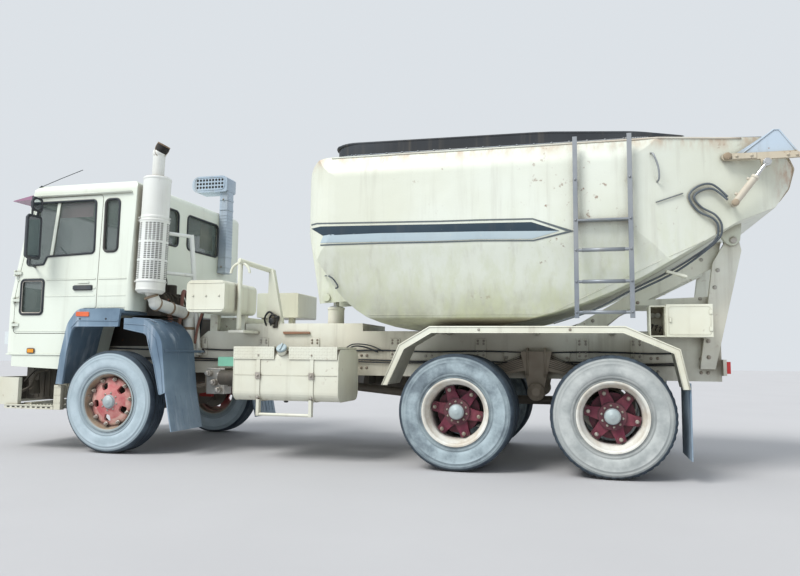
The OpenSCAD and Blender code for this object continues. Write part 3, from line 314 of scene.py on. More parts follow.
# ---- geometry
class Geo:
    """Collects many small solids into one mesh."""

    def __init__(self):
        self.v, self.f, self.s = [], [], []

    def add(self, verts, faces, m=None, smooth=False):
        o = len(self.v)
        self.v += [tuple(m @ Vector(p)) if m else tuple(p) for p in verts]
        self.f += [[o + i for i in f] for f in faces]
        self.s += [smooth] * len(faces)
        return self

    def box(self, lo, hi, m=None):
        (a, b, c), (d, e, f) = lo, hi
        vs = [(a, b, c), (d, b, c), (d, e, c), (a, e, c), (a, b, f), (d, b, f), (d, e, f), (a, e, f)]
        return self.add(vs, [(3, 2, 1, 0), (4, 5, 6, 7), (0, 1, 5, 4), (1, 2, 6, 5), (2, 3, 7, 6), (3, 0, 4, 7)], m)

    def rings(self, vs, k, n, closed, smooth=True):
        """Skins k rings of n corners each; open ends get a cap."""
        fs = [(j * n + i, j * n + (i + 1) % n, (j + 1) % k * n + (i + 1) % n, (j + 1) % k * n + i)
              for j in range(k if closed else k - 1) for i in range(n)]
        if not closed:
            fs += [tuple(range(n))[::-1], tuple((k - 1) * n + i for i in range(n))]
        return self.add(vs, fs, smooth=smooth)

    def lathe(self, rows, at, axis, n=24, smooth=True, closed=False):
        """rows are (radius, height) along axis from at."""
        z = Vector(axis).normalized()
        x = (Vector((0, 0, 1)) if abs(z.z) < 0.9 else Vector((1, 0, 0))).cross(z).normalized()
        y = z.cross(x)
        vs = []
        for r, h in rows:
            for i in range(n):
                a = 2 * pi * i / n
                vs.append(Vector(at) + x * (r * cos(a)) + y * (r * sin(a)) + z * h)
        return self.rings(vs, len(rows), n, closed, smooth)

    def cyl(self, a, b, r, n=16, smooth=True):
        d = Vector(b) - Vector(a)
        e = min(r * 0.12, d.length * 0.2)
        return self.lathe([(r - e, 0), (r, e), (r, d.length - e), (r - e, d.length)], a, d, n, smooth)

    def bolt(self, at, axis, r=0.012, h=0.009):
        """Washer, hexagon head and the end of its thread."""
        at, z = Vector(at), Vector(axis).normalized()
        self.lathe([(r * 1.35, 0), (r * 1.35, h * 0.22)], at, z, 14)
        self.lathe([(r, h * 0.2), (r, h * 0.85), (r * 0.82, h)], at, z, 6, False)
        return self.lathe([(r * 0.45, h * 0.9), (r * 0.45, h * 1.35), (r * 0.3, h * 1.5)], at, z, 8)

    def bolts(self, xs, ys, zs, axis, r, h):
        for x in xs:
            for y in ys:
                for z in zs:
                    self.bolt((x, y, z), axis, r, h)

    def bolt_ring(self, at, s, radius, angles, r, h):
        """Bolts round a point, towards the side s, at the given angles in degrees."""
        for a in angles:
            a = radians(a)
            self.bolt((at[0] + radius * cos(a), at[1], at[2] + radius * sin(a)), (0, s, 0), r, h)

    def tube(self, pts, r, n=8, closed=False):
        pts = [Vector(p) for p in pts]
        k = len(pts)
        t = [((pts[(i + 1) % k] if closed or i < k - 1 else pts[i])
              - (pts[i - 1] if closed or i else pts[i])).normalized() for i in range(k)]
        u = t[0].orthogonal().normalized()
        vs = []
        for i in range(k):
            u = (u - t[i] * u.dot(t[i])).normalized()
            w = t[i].cross(u)
            vs += [pts[i] + u * (r * cos(2 * pi * j / n)) + w * (r * sin(2 * pi * j / n)) for j in range(n)]
        return self.rings(vs, k, n, closed)

    def plate(self, pts, lo, hi, axis=1):
        """A plate: its outline lies across the given axis, and it is thick from lo to hi along that axis."""
        n = len(pts)
        put = (lambda a, b, c: (c, a, b)), (lambda a, b, c: (a, c, b)), (lambda a, b, c: (a, b, c))
        vs = [put[axis](a, b, c) for c in (lo, hi) for a, b in pts]
        sides = [(i, (i + 1) % n, n + (i + 1) % n, n + i) for i in range(n)]
        return self.add(vs, [tuple(range(n))[::-1], tuple(range(n, 2 * n))] + sides)

    def done(self, name, mat, body="chassis", bevel=0.0, slot=None, replaces=(), solid=True):
        """Makes the piece with its material, rides it on its body, and empties the collector; slot is not used."""
        me = bpy.data.meshes.new(name)
        me.from_pydata(self.v, [], self.f)
        me.polygons.foreach_set("use_smooth", self.s)
        me.materials.append(mat)
        me.validate()
        if solid:
            bm = bmesh.new()
            bm.from_mesh(me)
            bmesh.ops.recalc_face_normals(bm, faces=bm.faces)
            bm.to_mesh(me)
            bm.free()
        me.update()
        o = bpy.data.objects.new(name, me)
        scene.collection.objects.link(o)
        if bevel:
            b = o.modifiers.new("edges", "BEVEL")
            b.width, b.segments, b.limit_method, b.angle_limit = bevel, 2, "ANGLE", radians(40)
        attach(o, body)
        if replaces:
            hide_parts(*replaces)
        self.v, self.f, self.s = [], [], []


def curve(pts, steps=8, closed=False):
    """Catmull-Rom points through pts."""
    p = [Vector(x) for x in pts]
    k = len(p)
    out = []
    for i in range(k if closed else k - 1):
        a, b, c, d = (p[(i + j) % k] if closed else p[max(0, min(k - 1, i + j))] for j in (-1, 0, 1, 2))
        for s in range(steps):
            t = s / steps
            out.append(0.5 * (2 * b + (c - a) * t + (2 * a - 5 * b + 4 * c - d) * t * t
                              + (3 * b - a - 3 * c + d) * t ** 3))
    return out if closed else out + [p[-1]]


def hose(pts, r, n=8, steps=6):
    g.tube(curve(pts, steps), r, n)


def flat(outline, at, axis=1):
    """The corners of an outline as points across the given axis."""
    return [(a, at, b) if axis else (at, a, b) for a, b in outline]


def flipped(p):
    return Vector((p[0], -p[1], p[2]))


def tree(node):
    me = N[node].data
    return BVHTree.FromPolygons([v.co for v in me.vertices], [list(p.vertices) for p in me.polygons])


def rounded(rows, n=5):
    """Outline with arcs: rows are (x, y, radius)."""
    out = []
    k = len(rows)
    for i in range(k):
        a, b, c = (Vector(rows[(i + j) % k][:2]) for j in (-1, 0, 1))
        r = rows[i][2]
        if r < 1e-4:
            out.append(tuple(b))
            continue
        u, w = (a - b).normalized(), (c - b).normalized()
        half = acos(max(-1, min(1, u.dot(w)))) / 2
        mid = b + (u + w).normalized() * (r / sin(half))
        p, q = b + u * (r / tan(half)) - mid, b + w * (r / tan(half)) - mid
        start = atan2(p.y, p.x)
        sweep = (atan2(q.y, q.x) - start + 3 * pi) % (2 * pi) - pi
        out += [(mid.x + r * cos(start + sweep * j / n), mid.y + r * sin(start + sweep * j / n)) for j in range(n + 1)]
    return out


def rect(x0, y0, x1, y1, r=0):
    """Rectangle between two corners, rounded by r."""
    return rounded([(x0, y0, r), (x1, y0, r), (x1, y1, r), (x0, y1, r)])


SIDES = (("left", 1), ("right", -1))
g = Geo()

# ---- CAD nodes' materials
PAINT = {node: mat for mat, nodes in (
    (cream, "bumper fuel_tank rear_mudguards tanks service_stand valve_box"),
    (frame_paint, "chassis_frame tipping_frame ram_barrel"), (dark_steel, "powertrain axles side_boxes knuckle"),
    (spring_steel, "springs"), (red_paint, "shocks"), (fender_plastic, "mud_flaps cab_fenders"),
    (shield_paint, "exhaust"), (red_lens, "tail_lamps"), (cab_paint, "cab_shell door"),
    (window, "cab_glass door_glass"), (trim, "cab_interior"), (visor_mat, "visor"), (amber, "cab_lamps"),
    (intake_plastic, "air_intake"), (tub_paint, "tub_shell"), (black_rubber, "tub_collar tub_hoses"),
    (galvanised, "ladder"), (gate_paint, "gate"), (arm_paint, "gate_barrels"), (chrome, "gate_rods"),
    (black_plastic, "mirror")) for node in nodes.split()}
for name, o in N.items():
    base = name.replace("_left", "").replace("_right", "")
    kind, axle = base.split("_")[0], base.split("_")[-1]
    mat = {"tyre": tyre_mats.get(axle), "tyres": tyre_mats.get(axle), "wheel": wheel_mats.get(axle)}.get(kind)
    if base.startswith("ram_stage"):
        mat = chrome
    mat = mat or PAINT[base]
    o.data.materials.clear()
    o.data.materials.append(mat)

# ---- tyres with tread
SIDE = [(0.304, 0.022), (0.318, 0.015), (0.322, 0.019), (0.327, 0.019), (0.331, 0.01), (0.345, 0.005),
        (0.349, 0.008), (0.353, 0.008), (0.357, 0.003), (0.385, 0.0), (0.425, 0.001), (0.448, 0.004),
        (0.452, 0.002), (0.458, 0.002), (0.462, 0.006), (0.478, 0.01), (0.482, 0.008), (0.487, 0.009),
        (0.491, 0.014), (0.503, 0.019), (0.507, 0.018), (0.516, 0.026), (0.526, 0.041), (0.53, 0.05)]
RIBS = [(0.53, 0.084), (0.518, 0.086), (0.518, 0.094), (0.53, 0.096), (0.53, 0.124), (0.518, 0.126),
        (0.518, 0.134), (0.53, 0.136)]


def tyre(geo, x, outer, sign, lugs):
    """Tyre with its outer face at y = outer * sign, turned as a ring of rows; lugs notch the shoulders."""
    shoulder, notch = 0.084, 0.009
    half = SIDE + RIBS
    rows = half + [(r, TYRE_W - y) for r, y in reversed(half)]
    n = 150 if lugs else 96
    vs, fs = [], []
    for r, y in rows:
        for i in range(n):
            a = 2 * pi * i / n
            edge = r > 0.5 and (y < shoulder or y > TYRE_W - shoulder)
            cut = notch if lugs and edge and i % 3 == 0 else 0.0
            vs.append((x + (r - cut) * cos(a), sign * (outer - y), TYRE_R + (r - cut) * sin(a)))
    k = len(rows)
    for j in range(k - 1):
        for i in range(n):
            q = (j * n + i, j * n + (i + 1) % n, (j + 1) * n + (i + 1) % n, (j + 1) * n + i)
            fs.append(q if sign > 0 else q[::-1])
    geo.add(vs, fs, smooth=True)


for side, sign in SIDES:
    tyre(g, AXLES["front"], TRACK, sign, False)
    g.done("tread_front_" + side, tyre_mats["front"], f"front_{side}_wheel", replaces=["tyre_front_" + side])
    for axle in ("middle", "rear"):
        tyre(g, AXLES[axle], TRACK, sign, axle == "rear")
        tyre(g, AXLES[axle], TRACK - TYRE_W - 0.04, sign, axle == "rear")
        g.done(f"tread_{axle}_{side}", tyre_mats[axle], f"{axle}_{side}_wheels", replaces=[f"tyres_{axle}_{side}"])


# ---- wheel nuts, hub caps and valves
# wheel nuts: count, ring's radius, first angle, nut's radius, face; hub's bolts: count, ring's radius, face; cap's face
HUBS = {True: ((10, 0.232, 8, 0.0155, 1.158), (8, 0.09, 1.181), 1.198),
        False: ((6, 0.208, -11, 0.013, 1.108), (10, 0.092, 1.095), 1.132)}
for side, s in SIDES:
    for axle, x in AXLES.items():
        front = axle == "front"
        body = f"front_{side}_wheel" if front else f"{axle}_{side}_wheels"
        (count, radius, turn, r, y), (k, ring, y2), y3 = HUBS[front]
        g.bolt_ring((x, s * y, TYRE_R), s, radius, [-i * 360 / count - turn for i in range(count)], r, 0.024)
        g.bolt_ring((x, s * y2, TYRE_R), s, ring, [i * 360 / k + 11 for i in range(k)], 0.008, 0.009)
        g.cyl((x + 0.25, s * (y - 0.06), TYRE_R + 0.05), (x + 0.262, s * (y + 0.02), TYRE_R + 0.055), 0.005, 8)
        g.done(f"nuts_{axle}_{side}", nut_metal, body, slot="maroon_wheel")
        g.lathe([(0.063, -0.004), (0.063, 0.006), (0.056, 0.012), (0.03, 0.012), (0.026, 0.016), (0.012, 0.017)],
                (x, s * y3, TYRE_R), (0, s, 0), 32)
        g.done(f"cap_{axle}_{side}", hub_grey, body, slot="maroon_wheel")


# ---- cab: gaskets, creases, handles, lamps and mirrors
def cab_y(z):
    return 1.17 - max(0.0, z - 1.75) * 0.0348


DOOR_WINDOW = [(2.87, 2.105, 0.04), (3.47, 2.08, 0.02), (3.51, 1.995, 0.02), (3.735, 1.985, 0.04), (3.628, 2.69, 0.04),
               (2.89, 2.69, 0.04)]
SIDE_WINDOW = [(2.584, 2.115, 0.05), (2.752, 2.115, 0.05), (2.768, 2.69, 0.05), (2.592, 2.69, 0.05)]


def gasket(outline, s, r):
    g.tube([(x, s * (cab_y(z) + 0.001), z) for x, z in outline], r, 8, True)


for side, s in SIDES:
    door = side + "_door"
    gasket(rounded(DOOR_WINDOW), s, 0.012)
    gasket(rect(3.486, 1.448, 3.777, 1.826, 0.04), s, 0.014)
    g.done("door_gaskets_" + side, black_rubber, door)
    gasket(rounded(SIDE_WINDOW), s, 0.013)
    g.done("side_gasket_" + side, black_rubber, "cab")
    gasket(rect(3.5, 1.462, 3.763, 1.812, 0.03), s, 0.006)
    g.done("low_window_trim_" + side, nut_metal, door)
    # pressed lines of the panels
    for z, a, b in ((1.822, 2.825, 3.462), (1.641, 2.825, 3.462), (1.822, 3.802, 3.838), (1.641, 3.802, 3.838),
                    (1.262, 3.165, 3.835)):
        g.plate([(a, z - 0.006), (b, z - 0.006), (b - 0.006, z), (b, z + 0.006), (a, z + 0.006), (a + 0.006, z)],
                s * CAB_SIDE, s * 1.1735)
    g.done("door_lines_" + side, cab_paint, door, 0.002)
    for z in (1.822, 1.641, 1.515):
        g.plate(rect(2.45, z - 0.006, 2.79, z + 0.006), s * CAB_SIDE, s * 1.1735)
    g.plate(rect(3.21, 1.004, 3.93, 1.018), s * CAB_SIDE, s * 1.176)
    g.done("side_lines_" + side, cab_paint, "cab", 0.002)
    # handle: a dark recess with its grip and a flap above
    g.plate(rect(2.858, 1.698, 3.1, 1.757, 0.012), s * CAB_SIDE, s * 1.1715)
    g.box((2.866, s * 1.171, 1.7085), (3.093, s * 1.1925, 1.7475))
    g.done("door_handle_" + side, black_plastic, door, 0.003)
    g.plate(rounded([(2.9, 1.776, 0.006), (3.045, 1.776, 0.006), (3.035, 1.796, 0.006), (2.91, 1.796, 0.006)]),
            s * 1.169, s * 1.176)
    g.lathe([(0.014, 0), (0.014, 0.004), (0.011, 0.006)], (2.835, s * 1.1695, 1.726), (0, s, 0), 16)
    g.done("handle_flap_" + side, cab_paint, door, 0.002)
    # reflector on the fender, amber lamp's rim on the cab's side
    g.plate(rounded([(2.826, 1.414, 0.012), (2.99, 1.418, 0.012), (2.985, 1.466, 0.012), (2.826, 1.464, 0.012)]),
            s * 1.239, s * 1.249)
    g.done("fender_reflector_" + side, orange, "cab", 0.003)
    g.tube(flat(rect(3.556, 1.026, 3.644, 1.074, 0.01), s * 1.181), 0.004, 6, True)
    g.bolts((2.62, 2.94), (s * GUARD_SIDE,), (1.39,), (0, s, 0), 0.008, 0.006)
    g.done("lamp_rims_" + side, black_plastic, "cab")
    # pressed step along the fender and its turned edge
    g.plate([(2.47, 1.376), (2.97, 1.382), (3.055, 1.3), (3.045, 1.292), (2.966, 1.37), (2.47, 1.364)],
            s * 1.239, s * 1.246)
    g.tube(flat([(2.474, 1.312), (3.0, 1.312), (3.035, 1.29), (3.086, 1.05), (3.123, 0.702)], s * GUARD_SIDE), 0.006, 6)
    g.done("fender_edge_" + side, fender_plastic, "cab", 0.002)
    # mirrors: glass behind, ribs on the housings, clamps on the tube
    g.plate(rect(s * 1.282, 2.053, s * 1.438, 2.477, 0.02), 3.4765, 3.4802, 0)
    g.plate(rect(s * 1.28, 2.57, s * 1.382, 2.68, 0.042), 3.4805, 3.4842, 0)
    g.done("mirror_glass_" + side, mirror_face, door)
    for y, z, w, h in ((1.36, 2.265, 0.098, 0.232), (1.331, 2.625, 0.067, 0.07)):
        g.tube([(3.482, s * (y + a), z + b) for a, b in rect(-w, -h, w, h, 0.03)], 0.01, 8, True)
    for z in (2.15, 2.38, 2.64):
        g.lathe([(0.021, -0.014), (0.021, 0.014)], (3.53, s * 1.345, z), (0, 0, 1), 16)
        g.bolt((3.53, s * 1.366, z), (0, s, 0), 0.006, 0.006)
    g.done("mirror_rims_" + side, black_plastic, door)
    # the gutter's lip
    g.tube([(2.45, s * (cab_y(2.757) + 0.024), 2.764), (3.69, s * (cab_y(2.757) + 0.024), 2.764)], 0.006, 6)
    g.done("gutter_lip_" + side, cab_paint, "cab")

# pink blind inside the left door's window and the curtain in the back window
for i in range(14):
    z = 2.676 - i * 0.0115
    g.box((2.95, 1.097 + 0.004 * (i % 2), z - 0.0112), (3.425, 1.1 + 0.004 * (i % 2), z))
g.done("window_blind", blind, "left_door")
n = 34
top = [(2.452 + 0.012 * sin(i * 1.3), -0.556 + i * 0.3 / n) for i in range(n + 1)]
vs = [(x, y, z) for z in (2.36, 2.685) for x, y in top] + [(x + 0.003, y, z) for z in (2.36, 2.685) for x, y in top]
k = n + 1
fs = [(i, i + 1, k + i + 1, k + i) for i in range(n)]
fs += [(2 * k + i, 3 * k + i, 3 * k + i + 1, 2 * k + i + 1) for i in range(n)]
fs += [(i, 2 * k + i, 2 * k + i + 1, i + 1) for i in range(n)]
fs += [(k + i, k + i + 1, 3 * k + i + 1, 3 * k + i) for i in range(n)]
fs += [(0, k, 3 * k, 2 * k), (n, 2 * k + n, 3 * k + n, k + n)]
g.add(vs, fs, smooth=True).done("curtain", curtain, "cab")

# back windows' gaskets, aerial, ribs of the roof
for lo, hi in ((0.338, 1.03), (-0.572, 0.146)):
    g.tube(flat(rect(lo, 2.28, hi, 2.697, 0.06), 2.384, 0), 0.012, 8, True)
g.done("back_gaskets", black_rubber, "cab")
g.tube([(3.665, 1.09, 2.885), (3.4, 1.097, 2.965), (3.119, 1.1, 3.046)], 0.004, 6)
g.cyl((3.69, 1.088, 2.868), (3.655, 1.091, 2.892), 0.012, 12)
g.done("aerial", black_rubber, "cab")
for x in (2.75, 3.05, 3.35):
    g.box((x, -0.92, 2.8985), (x + 0.1, 0.92, 2.9045))
g.box((2.62, -0.3, 2.898), (3.22, 0.3, 2.915))
g.done("roof_ribs", cab_paint, "cab", 0.003)

# front: grille, wipers, the screen's gasket, blank plate, bolts and lamps
for i in range(7):
    z = 1.13 + i * 0.052
    g.box((4.006, -0.62, z), (4.022, 0.62, z + 0.024))
g.box((4.006, -0.65, 1.105), (4.016, 0.65, 1.118))
g.box((4.006, -0.65, 1.475), (4.016, 0.65, 1.488))
g.done("grille_bars", black_plastic, "cab", 0.003)
# painted shade: a dark panel behind the bars for the grille's openings
g.box((4.0055, -0.64, 1.115), (4.0115, 0.64, 1.478))
g.done("grille_back", trim, "cab")


def screen(y, z, off):
    return (4.01 - (z - 1.62) * 0.1944 + off, y, z)


for y0, y1 in ((0.62, 0.08), (-0.1, -0.64)):
    g.tube([screen(y0, 1.66, 0.012), screen(y0, 1.7, 0.035), screen((y0 + y1) / 2, 1.95, 0.045),
            screen(y1 + 0.1, 2.14, 0.03)], 0.007, 8)
    g.tube([screen(y1 + 0.4, 2.3, 0.016), screen(y1 + 0.1, 2.14, 0.018), screen(y1 - 0.06, 1.9, 0.016)], 0.008, 6)
    g.lathe([(0.022, -0.004), (0.022, 0.018), (0.014, 0.026)], screen(y0, 1.665, 0.0), (1, 0, 0.19), 16)
g.done("wipers", black_plastic, "cab")
outline = rounded([(-1.02, 1.72, 0.08), (1.02, 1.72, 0.08), (0.99, 2.7, 0.08), (-0.99, 2.7, 0.08)])
g.tube([screen(y, z, 0.002) for y, z in outline], 0.013, 8, True)
g.done("screen_gasket", black_rubber, "cab")
g.box((4.0895, -0.23, 0.56), (4.0945, 0.23, 0.7))
g.done("blank_plate", plate_white, bevel=0.003)
g.bolts((4.09,), (-0.95, -0.7, 0.7, 0.95), (0.66,), (1, 0, 0), 0.012, 0.008)
g.bolts((4.0945,), (-0.21, 0.21), (0.685,), (1, 0, 0), 0.006, 0.004)
g.done("bumper_bolts", nut_metal)
for s in (1, -1):
    g.plate(rect(s * 0.52, 0.5, s * 0.64, 0.58, 0.02), 4.0895, 4.0965, 0)
g.done("fog_lamps", clear_lens, bevel=0.003)

# ---- exhaust: slots, bands and the open mouth
FOOT, HEAD = Vector((2.205, 1.093, 1.665)), Vector((2.2, 1.05, 2.98))
AXIS = (HEAD - FOOT).normalized()


def stack(h, a=0.0, r=0.0):
    p = FOOT + AXIS * h
    return p + Vector((cos(a), sin(a), 0)) * r


# slots in the heat shield: thin black boxes, painted shade of the openings
for i in range(31):
    for j in range(24):
        if j % 6 == 5 or i in (10, 20):
            continue
        a = radians(j * 15 + 4)
        p = stack(0.15 + i * 0.0195, a, 0.1515)
        m = Matrix.Translation(p) @ Matrix.Rotation(a, 4, "Z")
        g.box((-0.001, -0.013, -0.0045), (0.0018, 0.013, 0.0045), m)
g.done("shield_slots", soot)
for h, r, w in ((0.118, 0.155, 0.014), (0.768, 0.155, 0.014), (0.8, 0.1475, 0.022), (1.228, 0.1465, 0.016),
                (0.03, 0.15, 0.012), (0.345, 0.1535, 0.01), (0.555, 0.1535, 0.01)):
    g.lathe([(r - 0.006, -w), (r, -w * 0.6), (r, w * 0.6), (r - 0.006, w)], stack(h), AXIS, 40)
for h in (0.118, 0.768, 0.8):
    for a in (0.6, 0.75, 3.4):
        g.bolt(stack(h, a, 0.154), (cos(a), sin(a), 0), 0.008, 0.01)
g.done("shield_bands", shield_paint)
end = Vector((2.145, 1.044, 3.278))
way = (end - stack(1.5194)).normalized()
g.lathe([(0.067, -0.012), (0.0705, -0.006), (0.0705, 0.002), (0.061, 0.002), (0.061, -0.01)], end, way, 32, closed=True)
g.lathe([(0.1385, -0.004), (0.1385, 0.004)], stack(1.2425), AXIS, 36)
g.done("stack_lip", pipe_rust)
# the open mouth: an inner ring and a black patch on the camera side of the pipe, painted shade of its hollow inside
g.lathe([(0.061, -0.004), (0.061, 0.0012)], end, way, 32)
toward = (CAMERA - end).normalized()
toward = (toward - way * toward.dot(way)).normalized()
across = way.cross(toward)
cut, rows, half = [], 24, radians(115)
for i in range(rows + 1):
    a = half * (2 * i / rows - 1)
    around = toward * cos(a) + across * sin(a)
    depth = 0.135 * (cos(a) - cos(half)) / (1 - cos(half))
    cut.append((end + around * 0.0682 - way * depth, end + around * 0.0682 + way * 0.001, around))
g.rings([p for low, high, around in cut for p in (low, high, high - around * 0.004, low - around * 0.004)],
        rows + 1, 4, False)
g.done("stack_mouth", soot)
g.tube([low + around * 0.001 for low, high, around in cut], 0.004, 8)
g.done("stack_cut", pipe_rust)
elbow = curve([(2.205, 1.09, 1.66), (2.172, 1.04, 1.56), (2.12, 0.8, 1.515), (2.066, 0.555, 1.47)], 8)
for k in (3, 9, 15, 21):
    a, b = elbow[k], elbow[k + 1]
    g.lathe([(0.068, -0.012), (0.074, -0.008), (0.074, 0.008), (0.068, 0.012)], a, b - a, 24)
g.cyl((2.066, 0.548, 1.3), (2.066, 0.548, 1.33), 0.07, 24)
g.done("elbow_clamps", pipe_rust)

# ---- air intake: grille holes, clamps, ribs
# grille holes: black discs, painted shade of the openings
for row in range(3):
    for i in range(9):
        x, z = 2.34 + i * 0.045, 3.215 + row * 0.048
        g.lathe([(0.016, -0.001), (0.016, 0.0015)], (x, -0.56, z), (0, 1, 0), 12)
g.done("intake_holes", soot, "cab")
g.tube(flat(rect(2.305, 3.18, 2.745, 3.348, 0.06), -0.5595), 0.007, 6, True)
for z in (3.05, 2.92, 2.3, 2.16):
    g.plate(rect(2.268, -0.756, 2.386, -0.586, 0.01), z - 0.011, z + 0.011, 2)
for i in range(12):
    z = 2.4 + i * 0.04
    g.plate(rect(2.271, -0.753, 2.386, -0.589), z - 0.006, z + 0.006, 2)
g.done("intake_bands", intake_plastic, "cab", 0.002)
g.bolts((2.33,), (-0.585,), (3.05, 2.16), (0, 1, 0), 0.009, 0.012)
g.done("intake_bolts", nut_metal, "cab")

# ---- stripe on the tub, cast on its left side and mirrored
tub = tree("tub_shell")


def on_tub(px, py, lift=0.003):
    d = pixel_ray(px, py)
    hit, normal, _, _ = tub.ray_cast(CAMERA, d)
    if hit is None:
        return None
    if normal.dot(d) > 0:
        normal = -normal
    return hit + normal * lift


def band(name, top, bottom, mat, steps=70, across=4):
    """A painted band between two lines of pixels with as many corners each."""
    def along(line, t):
        k = len(line) - 1
        i = min(int(t * k), k - 1)
        f = t * k - i
        return Vector(line[i]).lerp(Vector(line[i + 1]), f)
    grid = []
    for i in range(steps + 1):
        t = i / steps
        a, b = along(top, t), along(bottom, t)
        row = [on_tub(*a.lerp(b, j / across)) for j in range(across + 1)]
        if None not in row:
            grid.append(row)
    for tag, turn in (("left", lambda p: p), ("right", flipped)):
        vs = [turn(p) for row in grid for p in row]
        w = across + 1
        fs = [(i * w + j, i * w + j + 1, (i + 1) * w + j + 1, (i + 1) * w + j)
              for i in range(len(grid) - 1) for j in range(across)]
        if tag == "right":
            fs = [f[::-1] for f in fs]
        Geo().add(vs, fs, smooth=True).done(f"{name}_{tag}", mat, "tub", solid=False)


top_line = [(311.5, 224.3), (317, 222.9), (380, 221.7), (440, 220.6), (480, 219.3), (532.7, 218.2), (574.6, 231.2)]
low_line = [(320.5, 245.9), (330, 245.4), (380, 243.9), (440, 242.7), (480, 241.4), (533.6, 241.2), (574.6, 231.2)]
band("stripe_top_line", top_line, [(x, y + 1.35) for x, y in top_line[:-1]] + [(566, 230.9)], line_dark, 90, 1)
band("stripe_low_line", [(x, y - 1.35) for x, y in low_line[:-1]] + [(566, 231.5)], low_line, line_dark, 90, 1)
navy_top = [(311.6, 228.7), (321, 226.5), (380, 225.3), (440, 224.2), (480, 223.2), (531.3, 222.1), (559, 230.6)]
middle = [(312, 228.9), (322.8, 235.6), (380, 233.2), (440, 232.2), (480, 231.4), (531.3, 231.0), (559, 230.8)]
steel_low = [(320.5, 243.0), (330, 242.6), (380, 241.6), (440, 240.6), (480, 239.0), (532.2, 238.8), (559, 230.9)]
steel_top = [(323.5, 235.7), (330, 234.6), (380, 233.2), (440, 232.2), (480, 231.4), (532.2, 231.0), (559, 230.8)]
band("stripe_navy", navy_top, middle, navy, 90, 4)
band("stripe_blue", steel_top, steel_low, steel_blue, 90, 4)

